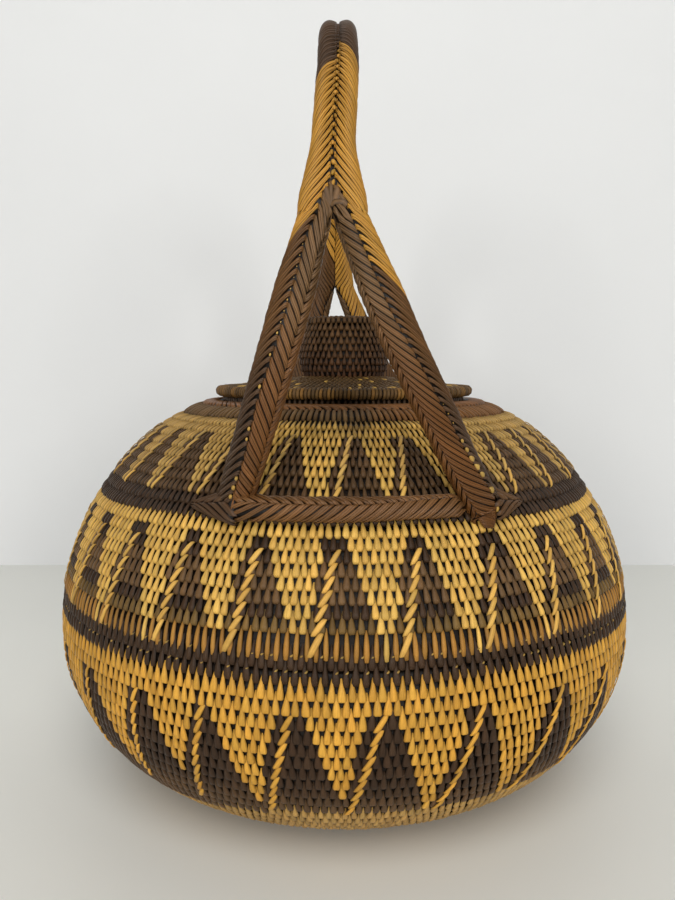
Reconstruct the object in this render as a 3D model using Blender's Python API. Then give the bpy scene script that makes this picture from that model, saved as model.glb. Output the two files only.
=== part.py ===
"""Coiled basket with a lid and a forked, bound handle: the solid parts.

Metres, +Z up. The base stands on z = 0, centred on the origin. The handle's arch stands in
the plane x = HANDLE_SHIFT, with one fork on the -Y side (near) and one on the +Y side (far).
"""
import math

import bmesh
import bpy
from mathutils import Vector

MM = 0.001

# Basket wall: outer outline of the coiled shell
BODY_RADIUS = 130.0 * MM
BELLY_HEIGHT = 70.0 * MM
BASE_RADIUS = 69.0 * MM
RIM_RADIUS = 58.0 * MM
RIM_HEIGHT = 168.0 * MM
WALL = 4.6 * MM
LOWER_ROUND_SHARE = 1.11
UPPER_ROUND_SHARE = 1.30

# Sewn rows of the coil on the wall and on the lid, and the furrow between two rows
ROW_HEIGHT = 4.9 * MM
LID_ROW_WIDTH = 4.4 * MM
ROW_FURROW = 0.7 * MM

# Bands of the wall: where each ends, and how far the sewn bands stand out
LOWER_BAND_TOP = 84.0 * MM
MIDDLE_BAND_TOP = 132.0 * MM
COLLAR_WIDTH = 9.0 * MM
COLLAR_PROUD = 0.4 * MM
RIM_BRAID_WIDTH = 8.5 * MM
RIM_BRAID_PROUD = 0.6 * MM

# Gap kept between pieces that touch on the real basket, overrun of a cut, and welding reach
SEAM = 0.3 * MM
CUT_OVERRUN = 6.0 * MM
WELD_SHARE = 0.03

# Lid
LID_RADIUS = 60.3 * MM
LID_EDGE_WIDTH = 6.0 * MM
LID_EDGE_HEIGHT = 5.0 * MM
LID_THICKNESS = 3.6 * MM
LID_RISE = 4.6 * MM
SEAT_CLEARANCE = 1.6 * MM
SEAT_WIDTH = 4.0 * MM
SEAT_DEPTH = 8.0 * MM

# Knob of the lid
KNOB_RADIUS = 21.0 * MM
KNOB_FOOT_RADIUS = 18.8 * MM
KNOB_TOP_RADIUS = 17.4 * MM
KNOB_HEIGHT = 27.0 * MM
KNOB_WALL = 3.4 * MM
KNOB_CAP_THICKNESS = 3.4 * MM
KNOB_CAP_EDGE = 1.4 * MM
KNOB_WIDEST_SHARE = 0.32

# Handle: two canes side by side, bound together over the arch and apart in the legs
ARCH_RADIUS = 120.5 * MM
ARCH_CENTRE_HEIGHT = 203.5 * MM
HANDLE_SHIFT = -3.6 * MM
CANE_RADIUS = 2.4 * MM
CANE_CLEARANCE = 0.3 * MM
CANE_SPACING = 6.8 * MM
CROTCH_CANE_SPACING = 11.6 * MM
GRIP_WIDTH = 14.2 * MM
GRIP_DEPTH = 9.4 * MM
CROTCH_WIDTH = 22.4 * MM
GRIP_WAIST_SHARE = 0.80
DARK_GRIP_ANGLE = math.radians(45.0)
WIDENING_ANGLE = math.radians(63.0)
CROTCH_ANGLE = math.radians(77.0)

# Legs of the two forks
LEG_TOP_WIDTH = 10.8 * MM
LEG_WIDTH = 13.4 * MM
LEG_DEPTH = 8.6 * MM
FOOT_HEIGHT = 134.0 * MM
LEFT_FOOT_X = -39.0 * MM
RIGHT_FOOT_X = 47.8 * MM
LEG_SPREAD_SHARE = 0.42
LEG_FULL_SHARE = 0.30

# Crossbar between the feet of a fork, and the lashing outside each foot
BAR_HEIGHT = 132.0 * MM
BAR_THICKNESS = 9.0 * MM
BAR_DEPTH = 7.6 * MM
BAR_END_SHARE = 0.30
LASHING_HEIGHT = 132.5 * MM
LASHING_REACH = 14.0 * MM
LASHING_TALL = 15.0 * MM
LASHING_TIP_TALL = 3.0 * MM
LASHING_DEPTH = 7.0 * MM
LASHING_TIP_DEPTH = 2.6 * MM
LASHED_SINK = 0.8 * MM

# How finely round shapes are drawn
ROUND_STEPS = 40
KNOB_STEPS = 28
KNOB_ROWS = 6
OUTLINE_STEPS = 60
LOWER_ROWS = 7
MIDDLE_ROWS = 5
SHOULDER_ROWS = 4
NARROW_ROWS = 2
CUTTER_ROWS = 15
EDGE_STEPS = 5
CANE_SIDES = 8
SLEEVE_SIDES = 16
LEG_SIDES = 12
LEG_STEPS = 9
GRIP_STEPS = 5
BAR_STEPS = 8
LASHING_STEPS = 4
SHARP_ANGLE = math.radians(40.0)

NEAR, FAR = -1.0, 1.0
LEFT, RIGHT = -1.0, 1.0
END_NAMES = {NEAR: "near", FAR: "far"}
SIDE_NAMES = {LEFT: "left", RIGHT: "right"}
FOOT_X = {LEFT: LEFT_FOOT_X, RIGHT: RIGHT_FOOT_X}

COLOURS = {
    "natural_straw": (0.52, 0.32, 0.12),
    "dyed_straw": (0.14, 0.08, 0.04),
    "golden_binding": (0.45, 0.24, 0.06),
    "brown_binding": (0.17, 0.09, 0.04),
    "cane": (0.50, 0.36, 0.18),
}
STRAW_ROUGHNESS = 0.6


def clear_scene():
    for thing in list(bpy.data.objects):
        bpy.data.objects.remove(thing, do_unlink=True)


def new_material(name, colour):
    material = bpy.data.materials.new(name)
    material.use_nodes = True
    shader = material.node_tree.nodes["Principled BSDF"]
    shader.inputs["Base Color"].default_value = (*COLOURS[colour], 1.0)
    shader.inputs["Roughness"].default_value = STRAW_ROUGHNESS
    return material


def add_object(name, work, colour=None):
    """Makes an object of a bmesh: a piece where it has a colour, otherwise a cutter."""
    mesh = bpy.data.meshes.new(name)
    work.to_mesh(mesh)
    work.free()
    mesh.shade_smooth()
    mesh.set_sharp_from_angle(angle=SHARP_ANGLE)
    item = bpy.data.objects.new(name, mesh)
    bpy.context.collection.objects.link(item)
    if colour:
        mesh.materials.append(new_material(name, colour))
    else:
        item.hide_render = True
        item.display_type = "WIRE"
    return item


def cut_away(item, cutters):
    for cutter in cutters:
        change = item.modifiers.new(cutter.name, "BOOLEAN")
        change.operation = "DIFFERENCE"
        change.solver = "EXACT"
        change.object = cutter


def smooth_step(low, high, value):
    share = min(max((value - low) / (high - low), 0.0), 1.0)
    return share * share * (3.0 - 2.0 * share)


def mix(low, high, share):
    return low + (high - low) * share


# Turned pieces

def revolve(outline, steps=ROUND_STEPS):
    """Turns an outline of (radius, height) points once round the axis; ends on it stay open."""
    work = bmesh.new()
    points = [work.verts.new((radius, 0.0, height)) for radius, height in outline]
    edges = [work.edges.new(pair) for pair in zip(points, points[1:])]
    if outline[0][0] > 0.0 or outline[-1][0] > 0.0:
        edges.append(work.edges.new((points[-1], points[0])))
    bmesh.ops.spin(work, geom=points + edges, cent=(0.0, 0.0, 0.0), axis=(0.0, 0.0, 1.0),
                   angle=math.tau, steps=steps, use_merge=True)
    bmesh.ops.remove_doubles(work, verts=work.verts, dist=SEAM * WELD_SHARE)
    bmesh.ops.recalc_face_normals(work, faces=work.faces)
    return work


class WallOutline:
    """Outer outline of the shell, from the middle of the base to the rim, by its length."""

    def __init__(self):
        self.points = [Vector((0.0, 0.0)), Vector((BASE_RADIUS / 2, 0.0))]
        for step in range(OUTLINE_STEPS):
            turn = math.pi / 2 * step / OUTLINE_STEPS
            radius = mix(BASE_RADIUS, BODY_RADIUS, math.sin(turn) ** LOWER_ROUND_SHARE)
            self.points.append(Vector((radius, BELLY_HEIGHT * (1.0 - math.cos(turn)))))
        for step in range(OUTLINE_STEPS + 1):
            turn = math.pi / 2 * (1.0 - step / OUTLINE_STEPS)
            radius = mix(RIM_RADIUS, BODY_RADIUS, math.sin(turn) ** UPPER_ROUND_SHARE)
            self.points.append(Vector((radius, mix(BELLY_HEIGHT, RIM_HEIGHT, math.cos(turn)))))
        self.lengths = [0.0]
        for start, end in zip(self.points, self.points[1:]):
            self.lengths.append(self.lengths[-1] + (end - start).length)

    def place(self, length):
        """Point and outward normal at a length along the outline."""
        last = len(self.lengths) - 2
        index = 0
        while index < last and self.lengths[index + 1] < length:
            index += 1
        start, end = self.points[index], self.points[index + 1]
        share = (length - self.lengths[index]) / (self.lengths[index + 1] - self.lengths[index])
        along = (end - start).normalized()
        return start.lerp(end, share), Vector((along.y, -along.x))

    def length_at(self, height):
        """Length along the outline at which the wall reaches a height."""
        for index, point in enumerate(self.points):
            if point.y >= height:
                before = self.points[index - 1]
                share = (height - before.y) / (point.y - before.y)
                return mix(self.lengths[index - 1], self.lengths[index], share)
        return self.lengths[-1]

    def shifted(self, start, end, out, steps):
        """Points of the outline moved along its normals."""
        row = []
        for step in range(steps + 1):
            point, normal = self.place(mix(start, end, step / steps))
            row.append(point + normal * out)
        return row

    def in_rows(self, start, end):
        """Points of the outline with a ridge for each sewn row and a furrow between two."""
        steps = 2 * count_rows(end - start, ROW_HEIGHT)
        row = []
        for step in range(steps + 1):
            point, normal = self.place(mix(start, end, step / steps))
            row.append(point - normal * (ROW_FURROW * (1 - step % 2)))
        return row


def count_rows(length, row):
    return max(round(length / row), 1)


WALL_OUTLINE = WallOutline()
RIM_LENGTH = WALL_OUTLINE.lengths[-1]
COLLAR_LENGTH = RIM_LENGTH - RIM_BRAID_WIDTH - COLLAR_WIDTH


def add_band(name, outside, start, end, steps, colour):
    """One band of the shell between two lengths along the outline, square to the wall."""
    inside = WALL_OUTLINE.shifted(start, end, -WALL, steps)
    return add_object(name, revolve([tuple(p) for p in outside + inside[::-1]]), colour)


def add_sewn_band(name, start, end, steps, colour):
    return add_band(name, WALL_OUTLINE.in_rows(start, end), start, end, steps, colour)


def add_smooth_band(name, start, end, steps, colour, proud=0.0):
    return add_band(name, WALL_OUTLINE.shifted(start, end, proud, steps), start, end, steps, colour)


def add_wall():
    half = SEAM / 2
    lower = WALL_OUTLINE.length_at(LOWER_BAND_TOP)
    middle = WALL_OUTLINE.length_at(MIDDLE_BAND_TOP)
    braid = RIM_LENGTH - RIM_BRAID_WIDTH
    add_smooth_band("base_coil", 0.0, BASE_RADIUS - half, NARROW_ROWS, "natural_straw")
    add_sewn_band("wall_lower", BASE_RADIUS + half, lower - half, LOWER_ROWS, "natural_straw")
    add_sewn_band("wall_middle", lower + half, middle - half, MIDDLE_ROWS, "natural_straw")
    add_sewn_band("wall_shoulder", middle + half, COLLAR_LENGTH - half, SHOULDER_ROWS, "natural_straw")
    add_smooth_band("collar", COLLAR_LENGTH + half, braid - half, NARROW_ROWS, "dyed_straw", COLLAR_PROUD)
    add_smooth_band("rim_braid", braid + half, RIM_LENGTH, NARROW_ROWS, "brown_binding", RIM_BRAID_PROUD)


def add_wall_cutter():
    """The whole body of the basket, grown by one seam, to trim what rests on the wall."""
    start = WALL_OUTLINE.length_at(BELLY_HEIGHT)
    rows = WALL_OUTLINE.shifted(start, COLLAR_LENGTH, SEAM, CUTTER_ROWS)
    outline = [(0.0, rows[0].y)] + [tuple(p) for p in rows] + [(0.0, rows[-1].y)]
    return add_object("wall_cutter", revolve(outline))


# Lid

LID_BOTTOM = RIM_HEIGHT + RIM_BRAID_PROUD + SEAM
LID_TOP = LID_BOTTOM + LID_EDGE_HEIGHT - SEAM
KNOB_BOTTOM = LID_TOP + LID_RISE
KNOB_TOP = KNOB_BOTTOM + KNOB_HEIGHT
KNOB_HOLE = KNOB_FOOT_RADIUS - KNOB_WALL


def knob_radius(height):
    """Outer radius of the barrel-shaped knob at a height."""
    share = (height - KNOB_BOTTOM) / KNOB_HEIGHT
    if share < KNOB_WIDEST_SHARE:
        return mix(KNOB_RADIUS, KNOB_FOOT_RADIUS, (1.0 - share / KNOB_WIDEST_SHARE) ** 2)
    above = (share - KNOB_WIDEST_SHARE) / (1.0 - KNOB_WIDEST_SHARE)
    return mix(KNOB_RADIUS, KNOB_TOP_RADIUS, above * above)


def add_lid(carrier):
    disc_radius = LID_RADIUS - LID_EDGE_WIDTH - SEAM
    disc = [(KNOB_FOOT_RADIUS, KNOB_BOTTOM)]
    steps = 2 * count_rows(disc_radius - KNOB_FOOT_RADIUS, LID_ROW_WIDTH)
    for step in range(1, steps + 1):
        share = step / steps
        furrow = ROW_FURROW * (1 - step % 2)
        disc.append((mix(KNOB_FOOT_RADIUS, disc_radius, share), mix(KNOB_BOTTOM, LID_TOP, share) - furrow))
    disc += [(disc_radius, LID_TOP - LID_THICKNESS), (KNOB_FOOT_RADIUS, KNOB_BOTTOM - LID_THICKNESS),
             (KNOB_HOLE, KNOB_BOTTOM - LID_THICKNESS), (KNOB_HOLE, KNOB_BOTTOM)]
    pieces = [add_object("lid_disc", revolve(disc), "dyed_straw")]

    inner = LID_RADIUS - LID_EDGE_WIDTH
    bend = LID_EDGE_HEIGHT / 2
    edge = [(inner, LID_BOTTOM + LID_EDGE_HEIGHT), (inner, LID_BOTTOM)]
    for step in range(EDGE_STEPS + 1):
        turn = math.pi * step / EDGE_STEPS - math.pi / 2
        edge.append((LID_RADIUS - bend + bend * math.cos(turn), LID_BOTTOM + bend + bend * math.sin(turn)))
    pieces.append(add_object("lid_edge", revolve(edge), "dyed_straw"))

    outer = RIM_RADIUS - SEAT_CLEARANCE
    seat_top = LID_BOTTOM - SEAM
    seat = [(outer, seat_top), (outer - SEAT_WIDTH, seat_top),
            (outer - SEAT_WIDTH, seat_top - SEAT_DEPTH), (outer, seat_top - SEAT_DEPTH)]
    pieces.append(add_object("lid_seat_ring", revolve(seat), "natural_straw"))

    wall_bottom = KNOB_BOTTOM + SEAM
    wall_top = KNOB_TOP - KNOB_CAP_THICKNESS - SEAM
    heights = [mix(wall_bottom, wall_top, step / KNOB_ROWS) for step in range(KNOB_ROWS + 1)]
    outside = [(knob_radius(z), z) for z in heights]
    inside = [(knob_radius(z) - KNOB_WALL, z) for z in heights]
    pieces.append(add_object("knob_wall", revolve(outside + inside[::-1], KNOB_STEPS), "dyed_straw"))

    cap_bottom = KNOB_TOP - KNOB_CAP_THICKNESS
    cap_radius = knob_radius(cap_bottom)
    cap = [(0.0, cap_bottom), (cap_radius, cap_bottom), (cap_radius, KNOB_TOP - KNOB_CAP_EDGE),
           (cap_radius - KNOB_CAP_EDGE, KNOB_TOP), (0.0, KNOB_TOP)]
    pieces.append(add_object("knob_cap", revolve(cap, KNOB_STEPS), "dyed_straw"))
    for piece in pieces:
        piece.parent = carrier


# Swept pieces

def sweep(stations):
    """Closed skin through stations of (centre, side axis, outward axis, section points)."""
    work = bmesh.new()
    rings = []
    for centre, side, out, section in stations:
        rings.append([work.verts.new(centre + side * a + out * b) for a, b in section])
    count = len(rings[0])
    for ring, following in zip(rings, rings[1:]):
        for i in range(count):
            j = (i + 1) % count
            work.faces.new((ring[i], ring[j], following[j], following[i]))
    work.faces.new(rings[0][::-1])
    work.faces.new(rings[-1])
    bmesh.ops.recalc_face_normals(work, faces=work.faces)
    return work


def oval(width, depth, sides):
    """Section points of an oval: pairs of distances along the side and outward axes."""
    turns = [math.tau * (i + 0.5) / sides for i in range(sides)]
    return [(width / 2 * math.cos(turn), depth / 2 * math.sin(turn)) for turn in turns]


def twin_lobes(width, depth):
    """Section points round two canes side by side, drawn in between them."""
    points = []
    for i in range(SLEEVE_SIDES):
        turn = math.tau * (i + 0.5) / SLEEVE_SIDES
        across = width / 2 * math.cos(turn)
        lobe = abs(across) * 4 / width - 1.0
        height = depth / 2 * math.sqrt(max(1.0 - lobe * lobe, 0.0))
        if lobe < 0.0:
            height = max(height, depth / 2 * GRIP_WAIST_SHARE)
        points.append((across, math.copysign(height, math.sin(turn))))
    return points


def arch_place(angle, offset):
    """Centre, tangent and outward axis of the arch, offset across it."""
    out = Vector((0.0, math.sin(angle), math.cos(angle)))
    centre = Vector((HANDLE_SHIFT + offset, 0.0, ARCH_CENTRE_HEIGHT)) + out * ARCH_RADIUS
    return centre, Vector((0.0, math.cos(angle), -math.sin(angle))), out


def widening(angle):
    return smooth_step(WIDENING_ANGLE, CROTCH_ANGLE, abs(angle))


def cane_offset(angle):
    return mix(CANE_SPACING, CROTCH_CANE_SPACING, widening(angle)) / 2


def wall_place(height, x, end):
    """Point on the wall's outside at a height and an x, with its normal there."""
    point, normal = WALL_OUTLINE.place(WALL_OUTLINE.length_at(height))
    y = end * math.sqrt(point.x ** 2 - x ** 2)
    outward = Vector((x, y, 0.0)) / point.x
    return Vector((x, y, point.y)), (outward * normal.x + Vector((0.0, 0.0, normal.y))).normalized()


def leg_curve(end, side):
    """The three guiding points of a leg's centre line, from the crotch to the wall."""
    top, along, _ = arch_place(end * CROTCH_ANGLE, side * CROTCH_CANE_SPACING / 2)
    foot, _ = wall_place(FOOT_HEIGHT, FOOT_X[side], end)
    down = along * end
    knee = top + down * ((top.z - foot.z) / 2 / abs(down.z))
    knee.x = mix(top.x, foot.x, LEG_SPREAD_SHARE)
    return top, knee, foot


def leg_place(end, side, share):
    """Centre, tangent and outward axis of a leg at a share of its length; past 1 it runs on."""
    top, knee, foot = leg_curve(end, side)
    held = min(share, 1.0)
    centre = top * (1 - held) ** 2 + knee * (2 * held * (1 - held)) + foot * held ** 2
    tangent = ((knee - top) * (1 - held) + (foot - knee) * held).normalized()
    centre += tangent * ((share - held) * (foot - top).length)
    out = Vector((centre.x, centre.y, 0.0)).normalized()
    out = (out - tangent * out.dot(tangent)).normalized()
    return centre, tangent, out


def leg_stations(end, side, grow=0.0):
    """Stations of a leg's binding, run on past both ends, where the cuts take the rest off."""
    top, _, foot = leg_curve(end, side)
    run_on = CUT_OVERRUN / (foot - top).length
    stations = []
    for step in range(LEG_STEPS + 1):
        share = mix(-run_on / 2, 1.0 + run_on, step / LEG_STEPS)
        centre, tangent, out = leg_place(end, side, share)
        width = mix(LEG_TOP_WIDTH, LEG_WIDTH, smooth_step(0.0, LEG_FULL_SHARE, share))
        section = oval(width + 2 * grow, LEG_DEPTH + 2 * grow, LEG_SIDES)
        stations.append((centre, tangent.cross(out), out, section))
    return stations


def cane_stations(side, radius, overrun):
    """Stations of one cane, from its near foot over the arch to its far foot."""
    section = oval(2 * radius, 2 * radius, CANE_SIDES)
    stations = []
    for end in (NEAR, FAR):
        top, _, foot = leg_curve(end, side)
        last = 1.0 + overrun / (foot - top).length
        leg = []
        for step in range(LEG_STEPS, 0, -1):
            centre, tangent, out = leg_place(end, side, last * step / LEG_STEPS)
            leg.append((centre, tangent * end, out))
        if end == NEAR:
            stations += leg
            arch_steps = 3 * GRIP_STEPS + 1
            for step in range(arch_steps + 1):
                angle = mix(-CROTCH_ANGLE, CROTCH_ANGLE, step / arch_steps)
                stations.append(arch_place(angle, side * cane_offset(angle)))
        else:
            stations += leg[::-1]
    return [(centre, tangent.cross(out), out, section) for centre, tangent, out in stations]


def grip_stations(start, end, steps):
    stations = []
    for step in range(steps + 1):
        angle = mix(start, end, step / steps)
        centre, tangent, out = arch_place(angle, 0.0)
        width = mix(GRIP_WIDTH, CROTCH_WIDTH, widening(angle))
        stations.append((centre, tangent.cross(out), out, twin_lobes(width, GRIP_DEPTH)))
    return stations


def crotch_cutter(end):
    """A block round the end of the grip's binding, whose lower face trims the tops of the legs."""
    stations = []
    reach = CUT_OVERRUN / ARCH_RADIUS
    for angle in (CROTCH_ANGLE - reach, CROTCH_ANGLE - reach / 2, CROTCH_ANGLE + SEAM / 2 / ARCH_RADIUS):
        centre, tangent, out = arch_place(end * angle, 0.0)
        section = oval(2 * CROTCH_WIDTH, 2 * GRIP_DEPTH, LEG_SIDES)
        stations.append((centre, tangent.cross(out), out, section))
    return add_object("crotch_cutter_" + END_NAMES[end], sweep(stations))


def wall_stations(height, start_x, end_x, end, steps, sizes):
    """Stations along the wall between two places; sizes gives (tall, deep) at a share."""
    stations = []
    for step in range(steps + 1):
        share = step / steps
        point, normal = wall_place(height, mix(start_x, end_x, share), end)
        tall, deep = sizes(share)
        flat = Vector((-point.y, point.x, 0.0)).normalized()
        centre = point + normal * (deep / 2 - LASHED_SINK)
        stations.append((centre, flat.cross(normal), normal, oval(tall, deep, LEG_SIDES)))
    return stations


def add_handle():
    wall_cutter = add_wall_cutter()
    bores = {}
    for side in (LEFT, RIGHT):
        name = "cane_" + SIDE_NAMES[side]
        cane = add_object(name, sweep(cane_stations(side, CANE_RADIUS, CUT_OVERRUN)), "cane")
        cut_away(cane, [wall_cutter])
        grown = CANE_RADIUS + CANE_CLEARANCE
        bores[side] = add_object(name + "_bore", sweep(cane_stations(side, grown, 2 * CUT_OVERRUN)))

    half_gap = SEAM / 2 / ARCH_RADIUS
    grips = [("grip_binding_top", -DARK_GRIP_ANGLE, DARK_GRIP_ANGLE, 2 * GRIP_STEPS, "brown_binding"),
             ("grip_binding_near", -CROTCH_ANGLE, -DARK_GRIP_ANGLE, GRIP_STEPS, "golden_binding"),
             ("grip_binding_far", DARK_GRIP_ANGLE, CROTCH_ANGLE, GRIP_STEPS, "golden_binding")]
    for name, start, end, steps, colour in grips:
        stations = grip_stations(start + half_gap, end - half_gap, steps)
        cut_away(add_object(name, sweep(stations), colour), bores.values())

    for end in (NEAR, FAR):
        crotch = crotch_cutter(end)
        leg_cutters = {}
        for side in (LEFT, RIGHT):
            where = END_NAMES[end] + "_" + SIDE_NAMES[side]
            leg = add_object("leg_binding_" + where, sweep(leg_stations(end, side)), "brown_binding")
            cut_away(leg, [bores[side], crotch, wall_cutter])
            leg_cutters[side] = add_object("leg_cutter_" + where, sweep(leg_stations(end, side, SEAM)))

            root = FOOT_X[side] + side * LEG_WIDTH * BAR_END_SHARE
            tip = FOOT_X[side] + side * (LEG_WIDTH / 2 + LASHING_REACH)
            stations = wall_stations(
                LASHING_HEIGHT, root, tip, end, LASHING_STEPS,
                lambda share: (mix(LASHING_TALL, LASHING_TIP_TALL, share),
                               mix(LASHING_DEPTH, LASHING_TIP_DEPTH, share)))
            lashing = add_object("foot_lashing_" + where, sweep(stations), "brown_binding")
            cut_away(lashing, [leg_cutters[side], wall_cutter])

        inset = LEG_WIDTH * BAR_END_SHARE
        stations = wall_stations(BAR_HEIGHT, LEFT_FOOT_X + inset, RIGHT_FOOT_X - inset, end, BAR_STEPS,
                                 lambda share: (BAR_THICKNESS, BAR_DEPTH))
        bar = add_object("crossbar_" + END_NAMES[end], sweep(stations), "brown_binding")
        cut_away(bar, [leg_cutters[LEFT], leg_cutters[RIGHT], wall_cutter])


def main():
    clear_scene()
    add_wall()
    lid = bpy.data.objects.new("lid", None)
    bpy.context.collection.objects.link(lid)
    add_lid(lid)
    add_handle()


main()
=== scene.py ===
"""Coiled basket with a lid and a forked, bound handle: the sewn straw and the bound cane strips
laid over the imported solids, their finishes, the light and the camera."""

import bisect
import math
import random

import bpy
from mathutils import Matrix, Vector


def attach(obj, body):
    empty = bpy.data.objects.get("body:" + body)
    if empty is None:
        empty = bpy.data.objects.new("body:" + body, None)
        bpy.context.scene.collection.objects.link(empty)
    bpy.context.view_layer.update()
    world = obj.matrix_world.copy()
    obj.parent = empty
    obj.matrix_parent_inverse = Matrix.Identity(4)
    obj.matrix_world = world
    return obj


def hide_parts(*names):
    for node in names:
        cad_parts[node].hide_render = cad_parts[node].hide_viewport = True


MM = 0.001
LEFT, RIGHT = -1, 1
NEAR, FAR = -1, 1
END_NAMES = {NEAR: "near", FAR: "far"}
SIDE_NAMES = {LEFT: "left", RIGHT: "right"}

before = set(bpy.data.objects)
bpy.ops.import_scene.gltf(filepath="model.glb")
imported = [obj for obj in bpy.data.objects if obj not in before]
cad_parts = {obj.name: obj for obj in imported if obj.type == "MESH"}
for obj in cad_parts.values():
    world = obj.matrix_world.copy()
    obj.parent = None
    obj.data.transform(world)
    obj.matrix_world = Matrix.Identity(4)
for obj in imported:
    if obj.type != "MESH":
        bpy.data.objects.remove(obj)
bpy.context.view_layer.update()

# The basket's own sizes, the same as in the solids

BODY_RADIUS = 130.0 * MM
BELLY_HEIGHT = 70.0 * MM
BASE_RADIUS = 69.0 * MM
RIM_RADIUS = 58.0 * MM
RIM_HEIGHT = 168.0 * MM
LOWER_BULGE = 1.11
UPPER_BULGE = 1.30
WALL = 4.6 * MM
RIM_BRAID_WIDTH = 8.5 * MM
COLLAR_WIDTH = 9.0 * MM

LID_RADIUS = 60.3 * MM
LID_BOTTOM = 168.9 * MM
LID_TOP = 173.6 * MM
LID_EDGE_WIDTH = 6.0 * MM
LID_THICKNESS = 3.6 * MM
SEAT_RADIUS = 56.4 * MM
SEAT_WIDTH = 4.0 * MM
SEAT_DEPTH = 8.0 * MM
KNOB_BOTTOM = 178.2 * MM
KNOB_TOP = 205.2 * MM
KNOB_RADIUS = 21.0 * MM
KNOB_FOOT_RADIUS = 18.8 * MM
KNOB_TOP_RADIUS = 17.4 * MM
KNOB_WALL = 3.4 * MM
KNOB_CAP_THICKNESS = 3.4 * MM
KNOB_WIDEST_SHARE = 0.32
KNOB_TUCK = 1.4 * MM
LID_HOLE_RADIUS = KNOB_FOOT_RADIUS - 3.0 * MM

ARCH_RADIUS = 120.5 * MM
ARCH_CENTRE_HEIGHT = 203.5 * MM
HANDLE_SHIFT = -3.6 * MM
GRIP_WIDTH = 14.2 * MM
GRIP_DEPTH = 9.4 * MM
CANE_HALF_SHARE = 0.262
CANE_OFFSET_SHARE = 0.238
LEG_TOP_WIDTH = 10.8 * MM
LEG_WIDTH = 13.4 * MM
LEG_DEPTH = 8.6 * MM
CROTCH_SPACING = 11.6 * MM
WIDENING_RUN = 132.5 * MM
CROTCH_RUN = 162.0 * MM
FOOT_HEIGHT = 134.0 * MM
FOOT_X = {LEFT: -39.0 * MM, RIGHT: 47.8 * MM}
LEG_SPREAD_SHARE = 0.42
LEG_WIDE_SHARE = 0.30

# Dyes, as they look in plain light, and the painted shadow of the holes, the gaps and the lid's seat


def dye(red, green, blue):
    """A colour of 0 to 255 a channel, as the shader counts it."""
    shares = [channel / 255 for channel in (red, green, blue)]
    return tuple(s / 12.92 if s <= 0.04045 else ((s + 0.055) / 1.055) ** 2.4 for s in shares)


PALE_STRAW = dye(212, 168, 84)
DUSTY_STRAW = dye(188, 150, 82)
AMBER_STRAW = dye(204, 151, 60)
BASE_STRAW = dye(176, 138, 76)
TWIST_STRAW = dye(210, 164, 82)
BLACK_STRAW = dye(62, 44, 29)
BROWN_STRAW = dye(102, 76, 48)
OLIVE_STRAW = dye(112, 86, 46)
OCHRE_STRAW = dye(160, 114, 50)
COLLAR_STRAW = dye(110, 83, 50)
WARM_COLLAR_STRAW = dye(126, 86, 47)
LID_STRAW = dye(92, 69, 41)
KNOB_STRAW = dye(86, 62, 38)
LOW_KNOB_STRAW = dye(75, 49, 30)
# Painted shadow: the seat ring is dark so that the gap under the lid reads as a shadow line.
SEAT_PAINTED_SHADOW = dye(70, 50, 32)
GOLD_STRIP = dye(194, 142, 60)
GREY_BROWN_STRIP = dye(116, 87, 56)
BROWN_STRIP = dye(108, 75, 43)
WARM_STRIP = dye(118, 77, 40)
DARK_STRIP = dye(86, 64, 46)
BRAID_STRIP = dye(128, 85, 46)
KNOT_STRIP = dye(160, 120, 46)
FLECK_STRAW = dye(190, 152, 78)
# Painted shadow: the near black of the holes and gaps, on the shell and the cores under the strips.
CORE_SHADOW = dye(24, 16, 10)
LINING_STRAW = dye(170, 134, 84)
BARE_CANE = dye(190, 158, 110)
TABLE_PAINT = dye(236, 236, 230)
WALL_PAINT = dye(230, 231, 232)


def toned(colour, share):
    return tuple(channel * share for channel in colour)


def mixed(first, second, share):
    return tuple(a + (b - a) * share for a, b in zip(first, second))


def mix(low, high, share):
    return low + (high - low) * share


def even_steps(low, high, count):
    """The values from low to high, both counted in, with count equal steps between them."""
    return [mix(low, high, n / count) for n in range(count + 1)]


def smooth_step(low, high, value):
    share = min(max((value - low) / (high - low), 0.0), 1.0)
    return share * share * (3.0 - 2.0 * share)


def between(stops, place):
    """The value at a place, straight between a few (place, value) stops."""
    if place <= stops[0][0]:
        return stops[0][1]
    for (before, low), (after, high) in zip(stops, stops[1:]):
        if place < after:
            return mix(low, high, (place - before) / (after - before))
    return stops[-1][1]


def round_axis(radius, turn, height):
    """A point or a direction at a turn round the basket's axis, from the near side towards +X."""
    return radius * math.sin(turn), -radius * math.cos(turn), height


# Finishes


class Link:
    """A socket of a finish, so that its maths reads as a plain sum."""

    def __init__(self, finish, socket):
        self.finish = finish
        self.socket = socket

    def __add__(self, other):
        return self.finish.maths("ADD", self, other)

    def __mul__(self, other):
        return self.finish.maths("MULTIPLY", self, other)

    __radd__ = __add__
    __rmul__ = __mul__


def around(middle, swing, value):
    """A value of 0 to 1, spread evenly about a middle."""
    return value * swing + (middle - swing / 2)


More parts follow.
